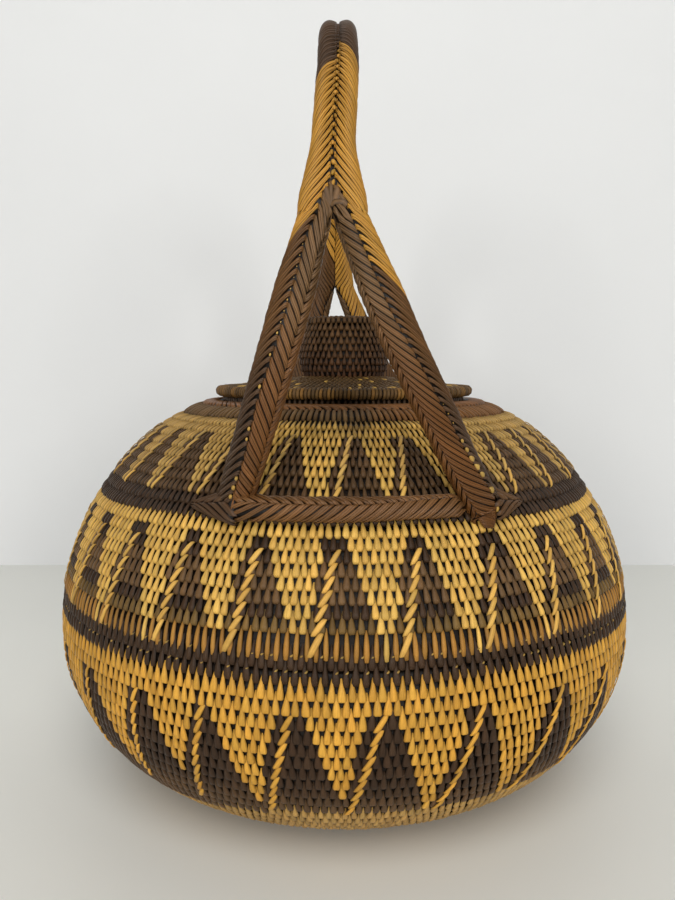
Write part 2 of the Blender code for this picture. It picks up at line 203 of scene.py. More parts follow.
class Finish:
    """A material, put together one node at a time."""

    def __init__(self, name):
        self.material = bpy.data.materials.new(name)
        self.material.use_nodes = True
        self.tree = self.material.node_tree
        self.shader = self.tree.nodes["Principled BSDF"]

    def feed(self, socket, value):
        if isinstance(value, Link):
            self.tree.links.new(value.socket, socket)
        elif isinstance(value, tuple) and len(value) == 3 and socket.type == "RGBA":
            socket.default_value = (*value, 1.0)
        else:
            socket.default_value = value

    def look(self, name, value):
        self.feed(self.shader.inputs[name], value)

    def node(self, kind, settings, values):
        made = self.tree.nodes.new(kind)
        for name, setting in settings.items():
            setattr(made, name, setting)
        for key, value in values.items():
            self.feed(made.inputs[key], value)
        return made

    def take(self, kind, settings, values, output):
        return Link(self, self.node(kind, settings, values).outputs[output])

    def place(self):
        return self.take("ShaderNodeTexCoord", {}, {}, "Object")

    def stretched(self, place, scale):
        return self.take("ShaderNodeMapping", {}, {"Vector": place, "Scale": scale}, 0)

    def maths(self, operation, first, second):
        return self.take("ShaderNodeMath", {"operation": operation}, {0: first, 1: second}, 0)

    def multiply(self, colour, factor):
        settings = {"data_type": "RGBA", "blend_type": "MULTIPLY"}
        return self.take("ShaderNodeMix", settings, {0: 1.0, 6: colour, 7: factor}, 2)

    def noise(self, place, scale, detail):
        values = {"Vector": place, "Scale": scale, "Detail": detail, "Roughness": 0.6}
        return self.take("ShaderNodeTexNoise", {}, values, "Fac")


FIBRE_LENGTH_SCALE = 1.6
FIBRE_HEIGHT = 0.12 * MM
PATCH_SCALE = 34.0
SPECK_SCALE = 900.0
GAP_SHADE_AND_DIRT = 0.32


def fibre_finish(name, roughness, sheen, strands, relief):
    """Split straw or cane: fine fibres along each strip, over the strip's own dye, darkened towards the gaps
    by painted shade and dirt.
    """
    finish = Finish(name)
    colour = finish.take("ShaderNodeAttribute", {"attribute_name": "dye"}, {}, "Color")
    crown = finish.take("ShaderNodeAttribute", {"attribute_name": "crown"}, {}, "Fac")
    grain = finish.take("ShaderNodeUVMap", {"uv_map": "grain"}, {}, "UV")
    place = finish.place()
    fibres = finish.noise(finish.stretched(grain, (strands, FIBRE_LENGTH_SCALE, 1.0)), 1.0, 3.0)
    patches = finish.noise(place, PATCH_SCALE, 2.0)
    specks = finish.noise(place, SPECK_SCALE, 2.0)
    tone = around(1.0, 0.72, fibres) * around(1.0, 0.36, patches) * around(1.0, 0.24, specks)
    # Painted shade and dirt: the colour darkens towards the gaps, by the crown attribute, down to the gap
    # tone.
    finish.look("Base Color", finish.multiply(colour, tone * mix(GAP_SHADE_AND_DIRT, 1.0, crown)))
    finish.look("Roughness", around(roughness, 0.24, fibres))
    finish.look("Specular IOR Level", sheen)
    values = {"Strength": relief, "Distance": FIBRE_HEIGHT, "Height": fibres}
    finish.look("Normal", finish.take("ShaderNodeBump", {}, values, 0))
    return finish.material


FINISHES = {
    "natural_straw": fibre_finish("sewn_straw", 0.44, 0.15, 22.0, 0.6),
    "dyed_straw": fibre_finish("sewn_dyed_straw", 0.50, 0.13, 24.0, 0.6),
    "brown_binding": fibre_finish("bound_brown_strips", 0.38, 0.22, 26.0, 0.8),
    "golden_binding": fibre_finish("bound_golden_strips", 0.38, 0.22, 26.0, 0.7),
}

# Pieces made of many strips

GRAIN_PER_METRE = 100.0
GRAIN_START = (0.0, 40.0)
WARMTH_SLIP = 0.07


class Weave:
    """Collects the strips of one piece: their points, faces, dyes, crowns and grain."""

    def __init__(self, seed):
        self.chance = random.Random(seed)
        self.points = []
        self.faces = []
        self.dyes = []
        self.crowns = []
        self.grains = []

    def slip(self, most):
        """A chance shift, up to most either way."""
        return self.chance.uniform(-most, most)

    def lay(self, stations, crowns, colour, up, ring=False, spread=(0.76, 1.16)):
        """One strip through stations of points. up is any direction out of the surface.

        crowns holds how dark each point is painted, from 0 in the gaps to 1 on the tops: painted shade and
        dirt in the gaps.
        """
        first = len(self.points)
        wide = len(stations[0])
        start = (self.chance.uniform(*GRAIN_START), self.chance.uniform(*GRAIN_START))
        tone = self.chance.uniform(*spread)
        warmth = self.slip(WARMTH_SLIP)
        red, green, blue = toned(colour, tone)
        colour = (red, green * (1.0 - warmth / 2), blue * (1.0 - warmth))
        middle = wide // 2
        along = 0.0
        before = stations[0][middle]
        for points, shades in zip(stations, crowns):
            along += math.dist(before, points[middle])
            before = points[middle]
            across = 0.0
            beside = points[0]
            for point, crown in zip(points, shades):
                across += math.dist(beside, point)
                beside = point
                self.points.append(point)
                self.dyes.append(colour)
                self.crowns.append(crown)
                self.grains.append((start[0] + across * GRAIN_PER_METRE, start[1] + along * GRAIN_PER_METRE))
        turned = self.faces_down(stations, up)
        for row in range(len(stations) - 1):
            for column in range(wide if ring else wide - 1):
                a = first + row * wide + column
                b = first + row * wide + (column + 1) % wide
                face = (a, b, b + wide, a + wide)
                self.faces.append(face[::-1] if turned else face)

    @staticmethod
    def faces_down(stations, up):
        row = len(stations) // 2 - 1 if len(stations) > 2 else 0
        column = len(stations[0]) // 2 - 1
        corner = Vector(stations[row][column])
        beside = Vector(stations[row][column + 1]) - corner
        ahead = Vector(stations[row + 1][column]) - corner
        return beside.cross(ahead).dot(Vector(up)) < 0.0

    def lay_tube(self, rings, up):
        """A closed tube through rings of points, for the core under the strips, painted near black as their
        shadow.
        """
        around_count = len(rings[0])
        first = len(self.points)
        self.lay(rings, [[0.35] * around_count] * len(rings), CORE_SHADOW, up, ring=True)
        for end_ring in (first, len(self.points) - around_count):
            self.faces.append(tuple(range(end_ring, end_ring + around_count)))

    def finish(self, name, body, slot, nodes):
        """Makes the piece's mesh, and puts it in the place of its solids."""
        mesh = bpy.data.meshes.new(name)
        mesh.from_pydata(self.points, [], self.faces)
        dyes = mesh.attributes.new("dye", "FLOAT_COLOR", "POINT")
        dyes.data.foreach_set("color", [c for colour in self.dyes for c in (*colour, 1.0)])
        crowns = mesh.attributes.new("crown", "FLOAT", "POINT")
        crowns.data.foreach_set("value", self.crowns)
        grain = mesh.uv_layers.new(name="grain")
        corners = [0] * len(mesh.loops)
        mesh.loops.foreach_get("vertex_index", corners)
        grain.uv.foreach_set("vector", [c for corner in corners for c in self.grains[corner]])
        mesh.shade_smooth()
        mesh.materials.append(FINISHES[slot])
        piece = bpy.data.objects.new(name, mesh)
        bpy.context.collection.objects.link(piece)
        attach(piece, body)
        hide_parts(*nodes)
        return piece


def clear_choice():
    bpy.ops.object.select_all(action="DESELECT")


def turned_shell(outline, steps):
    """Spins a closed outline of (radius, height) once round the axis and returns its mesh."""
    clear_choice()
    mesh = bpy.data.meshes.new("outline")
    count = len(outline)
    mesh.from_pydata([(r, 0.0, z) for r, z in outline], [(i, (i + 1) % count) for i in range(count)], [])
    blank = bpy.data.objects.new("outline", mesh)
    bpy.context.collection.objects.link(blank)
    bpy.context.view_layer.objects.active = blank
    blank.select_set(True)
    bpy.ops.object.mode_set(mode="EDIT")
    bpy.ops.mesh.select_all(action="SELECT")
    bpy.ops.mesh.spin(steps=steps, angle=math.tau, center=(0.0, 0.0, 0.0), axis=(0.0, 0.0, 1.0))
    bpy.ops.mesh.select_all(action="SELECT")
    bpy.ops.mesh.remove_doubles(threshold=0.02 * MM)
    bpy.ops.mesh.normals_make_consistent(inside=False)
    bpy.ops.object.mode_set(mode="OBJECT")
    points = [tuple(v.co) for v in mesh.vertices]
    faces = [tuple(p.vertices) for p in mesh.polygons]
    bpy.data.objects.remove(blank, do_unlink=True)
    return points, faces


# How dark the shell is painted: painted shade under the stitches, and painted shade and dirt in the lining's
# grooves.
SHELL_CROWN = 0.4
LINING_CROWN = 0.9
GROOVE_CROWN = 0.15


def add_shell(weave, outline, steps, lining=None):
    """Puts a turned shell under the stitches, painted near black as the shadow in the holes they leave.

    With a lining, the second half of the outline is the inside, in that dye, with a groove every
    third point, darker there by painted shade and dirt.
    """
    points, faces = turned_shell(outline, steps)
    first = len(weave.points)
    last = len(outline) - 1
    for x, y, z in points:
        radius = math.hypot(x, y)
        gaps = [abs(r - radius) + abs(height - z) for r, height in outline]
        nearest = gaps.index(min(gaps))
        inner = lining is not None and nearest > last // 2
        inner_crown = GROOVE_CROWN if (last - nearest) % 3 == 0 else LINING_CROWN
        weave.points.append((x, y, z))
        weave.dyes.append(lining if inner else CORE_SHADOW)
        weave.crowns.append(inner_crown if inner else SHELL_CROWN)
        weave.grains.append((z * GRAIN_PER_METRE, math.atan2(y, x) * radius * GRAIN_PER_METRE))
    weave.faces += [tuple(first + i for i in face) for face in faces]


STITCH_COLUMNS = (-1.0, -0.56, 0.56, 1.0)
# Painted shade across a stitch: darker at both edges, and darker on the right than on the left, as the light
# falls.
STITCH_PAINTED_SHADE = (0.22, 1.0, 0.9, 0.10)


def shaped_stitch(name, profile, slant=0.0, rounding=0.55):
    """One stitch, made of a small grid whose rows are moved, drawn in and lifted one by one.

    The profile gives, from the blunt foot to the tucked tip, the level in row heights, the width as a
    share of the pitch, the lift in mm and how lit and clean it is painted, darker where it tucks in by
    painted shade and dirt. Returns the stitch's rows of points.
    """
    clear_choice()
    count = len(profile)
    bpy.ops.mesh.primitive_grid_add(x_subdivisions=3, y_subdivisions=count - 1, size=1.0, location=(0, 0, 0))
    blank = bpy.context.object
    blank.name = name
    stations = []
    for order, (level, width, lift, lit_and_clean) in enumerate(profile):
        place = order / (count - 1) - 0.5
        row = [v for v in blank.data.vertices if abs(v.co.y - place) < 0.4 / count]
        row.sort(key=lambda v: v.co.x)
        for v, across, drop in zip(row, STITCH_COLUMNS, (rounding, 0.0, 0.0, rounding)):
            v.co = (across * width / 2 + slant * (level - 0.5), level, lift - drop)
        stations.append([(v.co.x, v.co.y, v.co.z * MM, lit_and_clean * shade)
                         for v, shade in zip(row, STITCH_PAINTED_SHADE)])
    bpy.data.objects.remove(blank, do_unlink=True)
    return stations


KNUCKLE_STITCH = shaped_stitch("knuckle_stitch", (
    (0.00, 0.54, -1.00, 0.20), (0.06, 0.72, -0.10, 0.80), (0.22, 0.85, 0.28, 1.00), (0.50, 0.81, 0.24, 1.00),
    (0.82, 0.64, -0.02, 0.95), (1.14, 0.50, -0.34, 0.75), (1.64, 0.28, -1.00, 0.40)))
BAR_STITCH = shaped_stitch("bar_stitch", (
    (0.00, 0.50, -0.95, 0.20), (0.05, 0.66, -0.12, 0.80), (0.30, 0.76, 0.20, 1.00), (0.68, 0.70, 0.16, 1.00),
    (1.02, 0.52, -0.10, 0.85), (1.32, 0.42, -0.40, 0.65), (1.75, 0.26, -0.95, 0.40)))
LONG_BAR_STITCH = shaped_stitch("long_bar_stitch", (
    (-0.34, 0.38, -0.90, 0.20), (-0.28, 0.52, -0.05, 0.80), (0.10, 0.60, 0.22, 1.00),
    (0.50, 0.56, 0.16, 1.00), (0.84, 0.46, -0.08, 0.85), (1.05, 0.36, -0.40, 0.60),
    (1.30, 0.22, -0.95, 0.45)))
BELL_STITCH = shaped_stitch("bell_stitch", (
    (0.00, 0.72, -0.90, 0.15), (0.04, 0.82, 0.00, 0.62), (0.14, 0.89, 0.28, 1.00), (0.42, 0.86, 0.26, 1.00),
    (0.70, 0.72, 0.14, 1.00), (0.96, 0.54, 0.02, 0.95), (1.28, 0.40, -0.28, 0.80),
    (1.62, 0.22, -0.85, 0.40)))
SLIM_STITCH = shaped_stitch("slim_stitch", (
    (0.00, 0.48, -1.00, 0.20), (0.06, 0.66, -0.10, 0.80), (0.22, 0.78, 0.32, 1.00), (0.50, 0.72, 0.26, 1.00),
    (0.82, 0.54, -0.04, 0.90), (1.14, 0.42, -0.38, 0.65), (1.64, 0.24, -1.00, 0.35)))
TWIST_STITCH = shaped_stitch("twist_stitch", (
    (-0.16, 0.34, -0.40, 0.30), (-0.06, 0.58, 0.40, 0.85), (0.20, 0.74, 0.80, 1.00),
    (0.76, 0.74, 0.84, 1.00), (1.04, 0.58, 0.50, 0.90), (1.16, 0.34, -0.40, 0.30)), 0.90, 0.42)
FLECK_STITCH = shaped_stitch("fleck_stitch", (
    (0.80, 0.10, -0.60, 0.40), (0.88, 0.30, 0.10, 0.90), (0.98, 0.30, 0.15, 0.90),
    (1.06, 0.10, -0.60, 0.40)), 0.9, 0.3)
COLLAR_STITCH = shaped_stitch("collar_stitch", (
    (-0.10, 0.56, -0.80, 0.25), (0.00, 0.74, -0.10, 0.85), (0.26, 0.80, 0.26, 1.00),
    (0.60, 0.78, 0.28, 1.00), (0.86, 0.74, 0.00, 0.80), (1.00, 0.60, -0.70, 0.40)), -0.12, 0.7)
EDGE_WRAP = shaped_stitch("edge_wrap", (
    (0.00, 0.66, -0.50, 0.30), (0.12, 0.84, -0.10, 0.70), (0.30, 0.88, 0.00, 0.85), (0.42, 0.88, 0.00, 1.00),
    (0.54, 0.88, 0.00, 1.00), (0.66, 0.88, 0.00, 1.00), (0.84, 0.84, -0.05, 0.90),
    (1.00, 0.66, -0.50, 0.40)), 0.3, 0.4)


class Turned:
    """An outline of (radius, height) points that a row of stitches follows, by its length."""

    def __init__(self, outline):
        self.outline = outline
        self.lengths = [0.0]
        for start, end in zip(outline, outline[1:]):
            self.lengths.append(self.lengths[-1] + math.dist(start, end))
        self.length = self.lengths[-1]

    def at(self, length):
        """Radius, height and outward normal at a length along the outline."""
        last = len(self.outline) - 2
        index = min(max(bisect.bisect_right(self.lengths, length) - 1, 0), last)
        (r0, z0), (r1, z1) = self.outline[index], self.outline[index + 1]
        span = self.lengths[index + 1] - self.lengths[index]
        share = (length - self.lengths[index]) / span
        return mix(r0, r1, share), mix(z0, z1, share), (z1 - z0) / span, (r0 - r1) / span

    def length_at(self, height):
        for index, (_, z) in enumerate(self.outline):
            if z >= height:
                before = self.outline[index - 1][1]
                return mix(self.lengths[index - 1], self.lengths[index], (height - before) / (z - before))
        return self.length

    def offset(self, length, lift):
        radius, height, across, up = self.at(length)
        return max(radius + across * lift, 0.0), height + up * lift


def wall_outline():
    steps = 60
    points = [(0.0, 0.0), (BASE_RADIUS / 2, 0.0)]
    for step in range(steps):
        turn = math.pi / 2 * step / steps
        radius = mix(BASE_RADIUS, BODY_RADIUS, math.sin(turn) ** LOWER_BULGE)
        points.append((radius, BELLY_HEIGHT * (1.0 - math.cos(turn))))
    for step in range(steps + 1):
        turn = math.pi / 2 * (1.0 - step / steps)
        radius = mix(RIM_RADIUS, BODY_RADIUS, math.sin(turn) ** UPPER_BULGE)
        points.append((radius, mix(BELLY_HEIGHT, RIM_HEIGHT, math.cos(turn))))
    return Turned(points)


WALL_OUTLINE = wall_outline()
RIM_LENGTH = WALL_OUTLINE.length
BRAID_LENGTH = RIM_LENGTH - RIM_BRAID_WIDTH
COLLAR_LENGTH = BRAID_LENGTH - COLLAR_WIDTH
SHELL_STEPS = 96
SMALL_SHELL_STEPS = 72
KNOB_SHELL_STEPS = 56

# How far hand work strays, as shares of a stitch's spacing or of a row's pitch
TURN_SLIP = 0.06
LEAN_SLIP = 0.11
FOOT_SLIP = 0.05
LIFT_SLIP = 0.12 * MM
STITCH_WIDTHS = (0.88, 1.08)
RIGHT_LEAN = 0.20
RIGHT_LEAN_BEARINGS = (4.0, 34.0)
# The waves in a sewn row: height in mm, waves round the wall, drift up the wall, start
ROW_WAVES = ((0.34, 3, 38.0, 0.0), (0.22, 7, -90.0, 1.3))
CREST_LIFT = -0.95 * MM
GROOVE_LIFT = -1.75 * MM
LINING_GROOVE = 0.8 * MM


def sew_stitch(weave, outline, foot, pitch, turn, wide, stitch, colour, lift=0.0, lean=0.0):
    """Sews one stitch at a bearing round an outline, with its foot at a length along it."""
    stations, crowns = [], []
    for points in stitch:
        level = points[0][1]
        radius, height, out, up = outline.at(foot + level * pitch)
        row = []
        for across, _, high, _ in points:
            angle = turn + (across + lean * (level - 0.5)) * wide
            reach = max(radius + out * (high + lift), 0.0)
            row.append(round_axis(reach, angle, height + up * (high + lift)))
        stations.append(row)
        # How lit and clean each point is painted: painted shade and dirt towards the stitch's ends.
        crowns.append([lit_and_clean for _, _, _, lit_and_clean in points])
    weave.lay(stations, crowns, colour, round_axis(out, turn, up))


def sew_row(weave, outline, foot, pitch, count, phase, stitch, colour_at, lift=0.0, sway=None):
    """Sews one row of stitches round an outline; colour_at gives the dye at a bearing in degrees.

    Bearings run from the near side towards +X. Each stitch's tip reaches up among the next row's.
    """
    step = math.tau / count
    for index in range(count):
        turn = (index + phase) * step + weave.slip(TURN_SLIP) * step
        bearing = (math.degrees(turn) + 180.0) % 360.0 - 180.0
        shift = sway(turn, foot) if sway else 0.0
        lean = weave.slip(LEAN_SLIP)
        if sway:
            lean -= RIGHT_LEAN * smooth_step(*RIGHT_LEAN_BEARINGS, bearing)
        start = foot + shift + weave.slip(FOOT_SLIP) * pitch
        wide = step * weave.chance.uniform(*STITCH_WIDTHS)
        colour = colour_at(bearing)
        high = lift + weave.slip(LIFT_SLIP)
        sew_stitch(weave, outline, start, pitch, turn, wide, stitch, colour, high, lean)


def wall_sway(turn, length):
    """How far a sewn row wanders up or down the wall, as hand work does."""
    return sum(high * math.sin(waves * turn + drift * length + start)
               for high, waves, drift, start in ROW_WAVES) * MM


def stitch_count(radius, wide):
    return max(8, int(math.tau * radius / wide))


def ribbed_outline(outline, rows, inner_lift, end):
    """A shell's closed outline, one rib to each coil row outside and inside."""
    outside, inside = [], []
    for foot, pitch in rows + [(end, 0.0)]:
        outside.append(outline.offset(foot, GROOVE_LIFT))
        inside.append(outline.offset(foot, inner_lift + LINING_GROOVE))
        for share in (0.3, 0.7) if pitch else ():
            outside.append(outline.offset(foot + pitch * share, CREST_LIFT))
            inside.append(outline.offset(foot + pitch * share, inner_lift))
    return outside + inside[::-1]


# The pattern of the wall. Lengths run in mm along the outline from the base's edge.

ROW_GROUPS = [  # first row's foot, last row's top, rows
    (0.0, 54.5, 11),
    (54.5, 119.9, 13),
    (119.9, 126.5, 1),
    (126.5, 163.8, 8),
    (163.8, 208.4, 9),
    (208.4, 212.6, 1),
]
LOW_STITCHES = 240
HIGH_STITCHES = 243
LOWER_FOOT = 54.0
AMBER_FOOT = 98.0
BLACK_FOOT, BLACK_TOP = 107.0, 118.0
LONG_BAR_TOP = 122.0
PALE_FOOT = 157.5
SHOULDER_FOOT, SHOULDER_TOP = 162.0, 172.0
MOUTH_FOOT = 202.0
READING_LEVEL = 2.5
TWIST_GAP = 1.9


class Tier:
    """A tier of triangles: pale ones point down between dark ones, with a twist beside each."""

    def __init__(self, places, motifs, top, lean, edge_top, edge_gap, edge_lean):
        spread = 360.0 - (places[-1] - places[0])
        spare = motifs - len(places) + 1
        rest = [places[-1] + spread * n / spare for n in range(1, spare)]
        self.places = places + rest
        self.top = top
        self.lean = lean
        self.edge_top = edge_top
        self.edge_gap = edge_gap
        self.edge_lean = edge_lean

    def is_pale(self, foot, bearing):
        """Whether a stitch there is in a pale triangle, right of a dark one and left of a twist."""
        length = foot + READING_LEVEL
        drift = self.lean * max(self.top - length, 0.0)
        bearing = (bearing - self.places[0] + drift) % 360.0 + self.places[0] - drift
        index = bisect.bisect_right(self.places, bearing + drift) - 1
        following = self.places[index + 1] if index + 1 < len(self.places) else self.places[0] + 360.0
        edge = self.places[index] + self.edge_gap + self.edge_lean * (self.edge_top - length)
        return edge < bearing < following - drift - TWIST_GAP


LOWER_TIER = Tier([-35.5, -22.4, -8.5, 5.2, 20.8, 36.8], 25, 100.0, 0.105, 103.0, 1.1, 0.149)
MIDDLE_TIER = Tier([-41.9, -28.2, -14.9, -1.8, 11.8, 25.6, 39.0], 27, 154.0, 0.095, 157.0, 2.0, 0.161)
UPPER_TIER = Tier([-41.1, -27.4, -13.4, 1.1, 13.8, 27.6, 40.2], 27, 203.0, 0.105, 206.0, 2.2, 0.151)
LOWER_TWIST = toned(AMBER_STRAW, 1.05)
TWISTS = (  # tier, first and last foot, width in degrees, dye low and high on the shoulder
    (LOWER_TIER, 54.0, 96.0, 1.32, LOWER_TWIST, LOWER_TWIST),
    (MIDDLE_TIER, 119.0, 153.0, 1.44, TWIST_STRAW, TWIST_STRAW),
    (UPPER_TIER, 170.0, 203.0, 1.36, TWIST_STRAW, DUSTY_STRAW),
)
# What each row has below a foot: the dye of the middle tier's dark stitches, and the stitch
MIDDLE_DARKS = ((LONG_BAR_TOP, OCHRE_STRAW), (130.0, OLIVE_STRAW), (134.0, BLACK_STRAW),
                (149.0, BROWN_STRAW))
WALL_STITCHES = ((BLACK_FOOT, BELL_STITCH), (BLACK_TOP, BAR_STITCH), (LONG_BAR_TOP, LONG_BAR_STITCH),
                 (SHOULDER_FOOT, KNUCKLE_STITCH))
DARK_PATCH_BEARING, DARK_PATCH_WIDTH = 2.5, 5.0
DARK_PATCH_FOOT, DARK_PATCH_HEIGHT = 209.0, 8.0


def below(table, foot, otherwise):
    """The entry of the first limit above a row's foot."""
    return next((entry for limit, entry in table if foot < limit), otherwise)


def foot_band_top(bearing):
    """The plain pale band at the foot ends two rows lower on the left."""
    return 52.0 - 10.0 * smooth_step(6.0, 32.0, -bearing) * (1.0 - smooth_step(150.0, 178.0, -bearing))


def lower_colour(foot, bearing):
    if foot > AMBER_FOOT or LOWER_TIER.is_pale(foot, bearing):
        return AMBER_STRAW
    return mixed(BROWN_STRAW, BLACK_STRAW, mix(0.35, 1.0, smooth_step(LOWER_FOOT, 68.0, foot)))


def middle_colour(foot, bearing):
    if foot > PALE_FOOT or MIDDLE_TIER.is_pale(foot, bearing):
        return PALE_STRAW
    return below(MIDDLE_DARKS, foot, BLACK_STRAW)


def upper_colour(foot, bearing):
    """Pale straw that greys round the sides, darker in a patch under the mouth."""
    if foot <= MOUTH_FOOT and not UPPER_TIER.is_pale(foot, bearing):
        return mixed(BROWN_STRAW, BLACK_STRAW, 0.45)
    beside, above = (bearing - DARK_PATCH_BEARING) / DARK_PATCH_WIDTH, (foot - DARK_PATCH_FOOT) / DARK_PATCH_HEIGHT
    dark_patch = math.exp(-beside ** 2 - above ** 2)
    pale = mixed(PALE_STRAW, DUSTY_STRAW, smooth_step(10.0, 40.0, abs(bearing)))
    return toned(mixed(pale, toned(BLACK_STRAW, 1.6), 0.75 * dark_patch), 0.93)


def wall_colour(foot, bearing):
    """The dye of a stitch by the foot of its row and its bearing."""
    if foot < foot_band_top(bearing):
        return BASE_STRAW
    if foot < BLACK_FOOT:
        return lower_colour(foot, bearing)
    if foot < BLACK_TOP or SHOULDER_FOOT <= foot < SHOULDER_TOP:
        return BLACK_STRAW
    return middle_colour(foot, bearing) if foot < SHOULDER_FOOT else upper_colour(foot, bearing)


def wall_rows():
    rows = []
    for start, end, count in ROW_GROUPS:
        pitch = (end - start) / count
        rows += [(start + pitch * n, pitch) for n in range(count)]
    return rows


def wall_length(foot):
    return foot * MM + BASE_RADIUS


def sew_wall_stitch(weave, foot, pitch, turn, wide, stitch, colour):
    """One stitch apart from the rows, that sways with them."""
    start = wall_length(foot) + wall_sway(turn, wall_length(foot))
    sew_stitch(weave, WALL_OUTLINE, start, pitch * MM, turn, wide, stitch, colour)


def add_twists(weave, foot, pitch):
    """The twisted pale lines beside the triangles, one leaf to a row."""
    for tier, low, high, wide, low_dye, high_dye in TWISTS:
        if low < foot < high:
            colour = mixed(low_dye, high_dye, smooth_step(SHOULDER_TOP, 184.0, foot))
            drift = tier.lean * max(tier.top - foot - pitch / 2, 0.0)
            for place in tier.places:
                turn = math.radians(place - drift + weave.slip(0.12))
                leaf = math.radians(wide * weave.chance.uniform(0.9, 1.1))
                sew_wall_stitch(weave, foot, pitch, turn, leaf, TWIST_STITCH, colour)


def add_flecks(weave, foot, pitch, count, phase):
    """Bits of the pale foundation that show between the black rows."""
    step = math.tau / count
    for index in range(count):
        if weave.chance.random() < 0.5:
            turn = (index + phase - 0.3) * step
            sew_wall_stitch(weave, foot, pitch, turn, step, FLECK_STITCH, toned(FLECK_STRAW, 0.7))


def add_wall_piece(name, node, low, high, seed, end):
    weave = Weave(seed)
    chosen = [(order, foot, pitch) for order, (foot, pitch) in enumerate(wall_rows()) if low <= foot < high]
    shell_rows = [(wall_length(foot), pitch * MM) for _, foot, pitch in chosen]
    add_shell(weave, ribbed_outline(WALL_OUTLINE, shell_rows, -WALL, end), SHELL_STEPS, LINING_STRAW)
    for order, foot, pitch in chosen:
        count = LOW_STITCHES if foot < BLACK_TOP else HIGH_STITCHES
        phase = 0.5 * (order % 2) + weave.slip(0.07)
        stitch = below(WALL_STITCHES, foot, SLIM_STITCH)
        sew_row(weave, WALL_OUTLINE, wall_length(foot), pitch * MM, count, phase, stitch,
                lambda bearing: wall_colour(foot, bearing), sway=wall_sway)
        add_twists(weave, foot, pitch)
        if BLACK_FOOT < foot < BLACK_TOP:
            add_flecks(weave, foot, pitch, count, phase)
    weave.finish(name, "basket", "natural_straw", [node])


def add_wall():
    add_wall_piece("foot_rows", "wall_lower", 0.0, 54.0, 11, wall_length(54.5))
    add_wall_piece("lower_tier_rows", "wall_lower", 54.0, 113.0, 12, wall_length(114.9))
    add_wall_piece("middle_tier_rows", "wall_middle", 113.0, 163.0, 13, wall_length(163.8))
    add_wall_piece("upper_tier_rows", "wall_shoulder", 163.0, 212.0, 14, COLLAR_LENGTH)


def add_base():
    weave = Weave(21)
    rows = 14
    pitch = BASE_RADIUS / rows
    shell = ribbed_outline(WALL_OUTLINE, [(pitch * n, pitch) for n in range(rows)], -WALL, BASE_RADIUS)
    add_shell(weave, shell, SMALL_SHELL_STEPS, LINING_STRAW)
    for n in range(rows):
        count = stitch_count((n + 0.6) * pitch, 2.6 * MM)
        sew_row(weave, WALL_OUTLINE, pitch * n, pitch, count, 0.5 * (n % 2), BELL_STITCH,
                lambda bearing: BASE_STRAW, -0.32 * MM)
    weave.finish("base_rows", "basket", "natural_straw", ["base_coil"])


# Collar and rim

COLLAR_STITCHES = 196
BRAID_STRANDS = 120
BRAID_CORE = ((0.0, -1.8), (0.12, -0.9), (0.35, -0.6), (0.7, -0.6), (0.93, -1.0), (1.0, -1.8))
# A strand of the braid: level, degrees back, lift in mm, width share
BRAID_PATH = ((0.00, -0.2, -0.90, 0.5), (0.07, 0.0, 0.10, 0.8), (0.20, 1.2, 0.42, 0.95),
              (0.40, 3.4, 0.30, 1.0), (0.58, 6.0, 0.05, 1.0), (0.76, 9.2, -0.30, 0.9),
              (0.92, 12.6, -0.95, 0.7))


def add_collar():
    weave = Weave(31)
    rows = [(COLLAR_LENGTH, COLLAR_WIDTH)]
    add_shell(weave, ribbed_outline(WALL_OUTLINE, rows, -WALL, BRAID_LENGTH), SHELL_STEPS)
    sew_row(weave, WALL_OUTLINE, COLLAR_LENGTH, COLLAR_WIDTH, COLLAR_STITCHES, 0.0, COLLAR_STITCH,
            lambda bearing: mixed(COLLAR_STRAW, WARM_COLLAR_STRAW, smooth_step(2.0, 20.0, bearing)))
    weave.finish("collar_stitches", "basket", "dyed_straw", ["collar"])


def braid_strand(bearing, strand):
    """Stations along one strand of a pair; its outer edge is the lower one."""
    stations = []
    for level, back, lift, width in BRAID_PATH:
        length = mix(BRAID_LENGTH - 0.3 * MM, RIM_LENGTH, level)
        row = []
        for column in (-1, 0, 1):
            beside = (strand - 0.5 + column * 0.5) * width * 360.0 / BRAID_STRANDS / 2
            drop = 0.55 if column == 2 * strand - 1 else 0.22
            radius, height = WALL_OUTLINE.offset(length, (lift - abs(column) * drop) * MM)
            row.append(round_axis(radius, math.radians(bearing - back + beside), height))
        stations.append(row)
    return stations


def add_rim_braid():
    weave = Weave(32)
    core = [(mix(BRAID_LENGTH, RIM_LENGTH, share), lift * MM) for share, lift in BRAID_CORE]
    core += [(RIM_LENGTH, -3.4 * MM), (RIM_LENGTH - 2.0 * MM, -WALL), (BRAID_LENGTH + 1.5 * MM, -WALL),
             (BRAID_LENGTH, -3.6 * MM)]
    add_shell(weave, [WALL_OUTLINE.offset(length, lift) for length, lift in core], SHELL_STEPS)
    _, _, out, up = WALL_OUTLINE.at(BRAID_LENGTH + RIM_BRAID_WIDTH / 2)
    for index in range(BRAID_STRANDS):
        bearing = index * 360.0 / BRAID_STRANDS + weave.slip(0.3)
        # Painted shade and dirt along each strand pair's outer edges.
        for strand, shades in enumerate(((0.10, 1.0, 0.5), (0.5, 1.0, 0.10))):
            stations = braid_strand(bearing, strand)
            weave.lay(stations, [shades] * len(stations), BRAID_STRIP,
                      round_axis(out, math.radians(bearing), up))
    weave.finish("rim_strips", "basket", "brown_binding", ["rim_braid"])


# Lid and knob

LID_ROWS = 8
EDGE_WRAPS = 230
EDGE_AGES = (0.0, 0.05, 0.12, 0.4)
SEAT_STITCHES = 150
KNOB_ROWS = 8
KNOB_STITCHES = 46
CAP_ROWS = 6


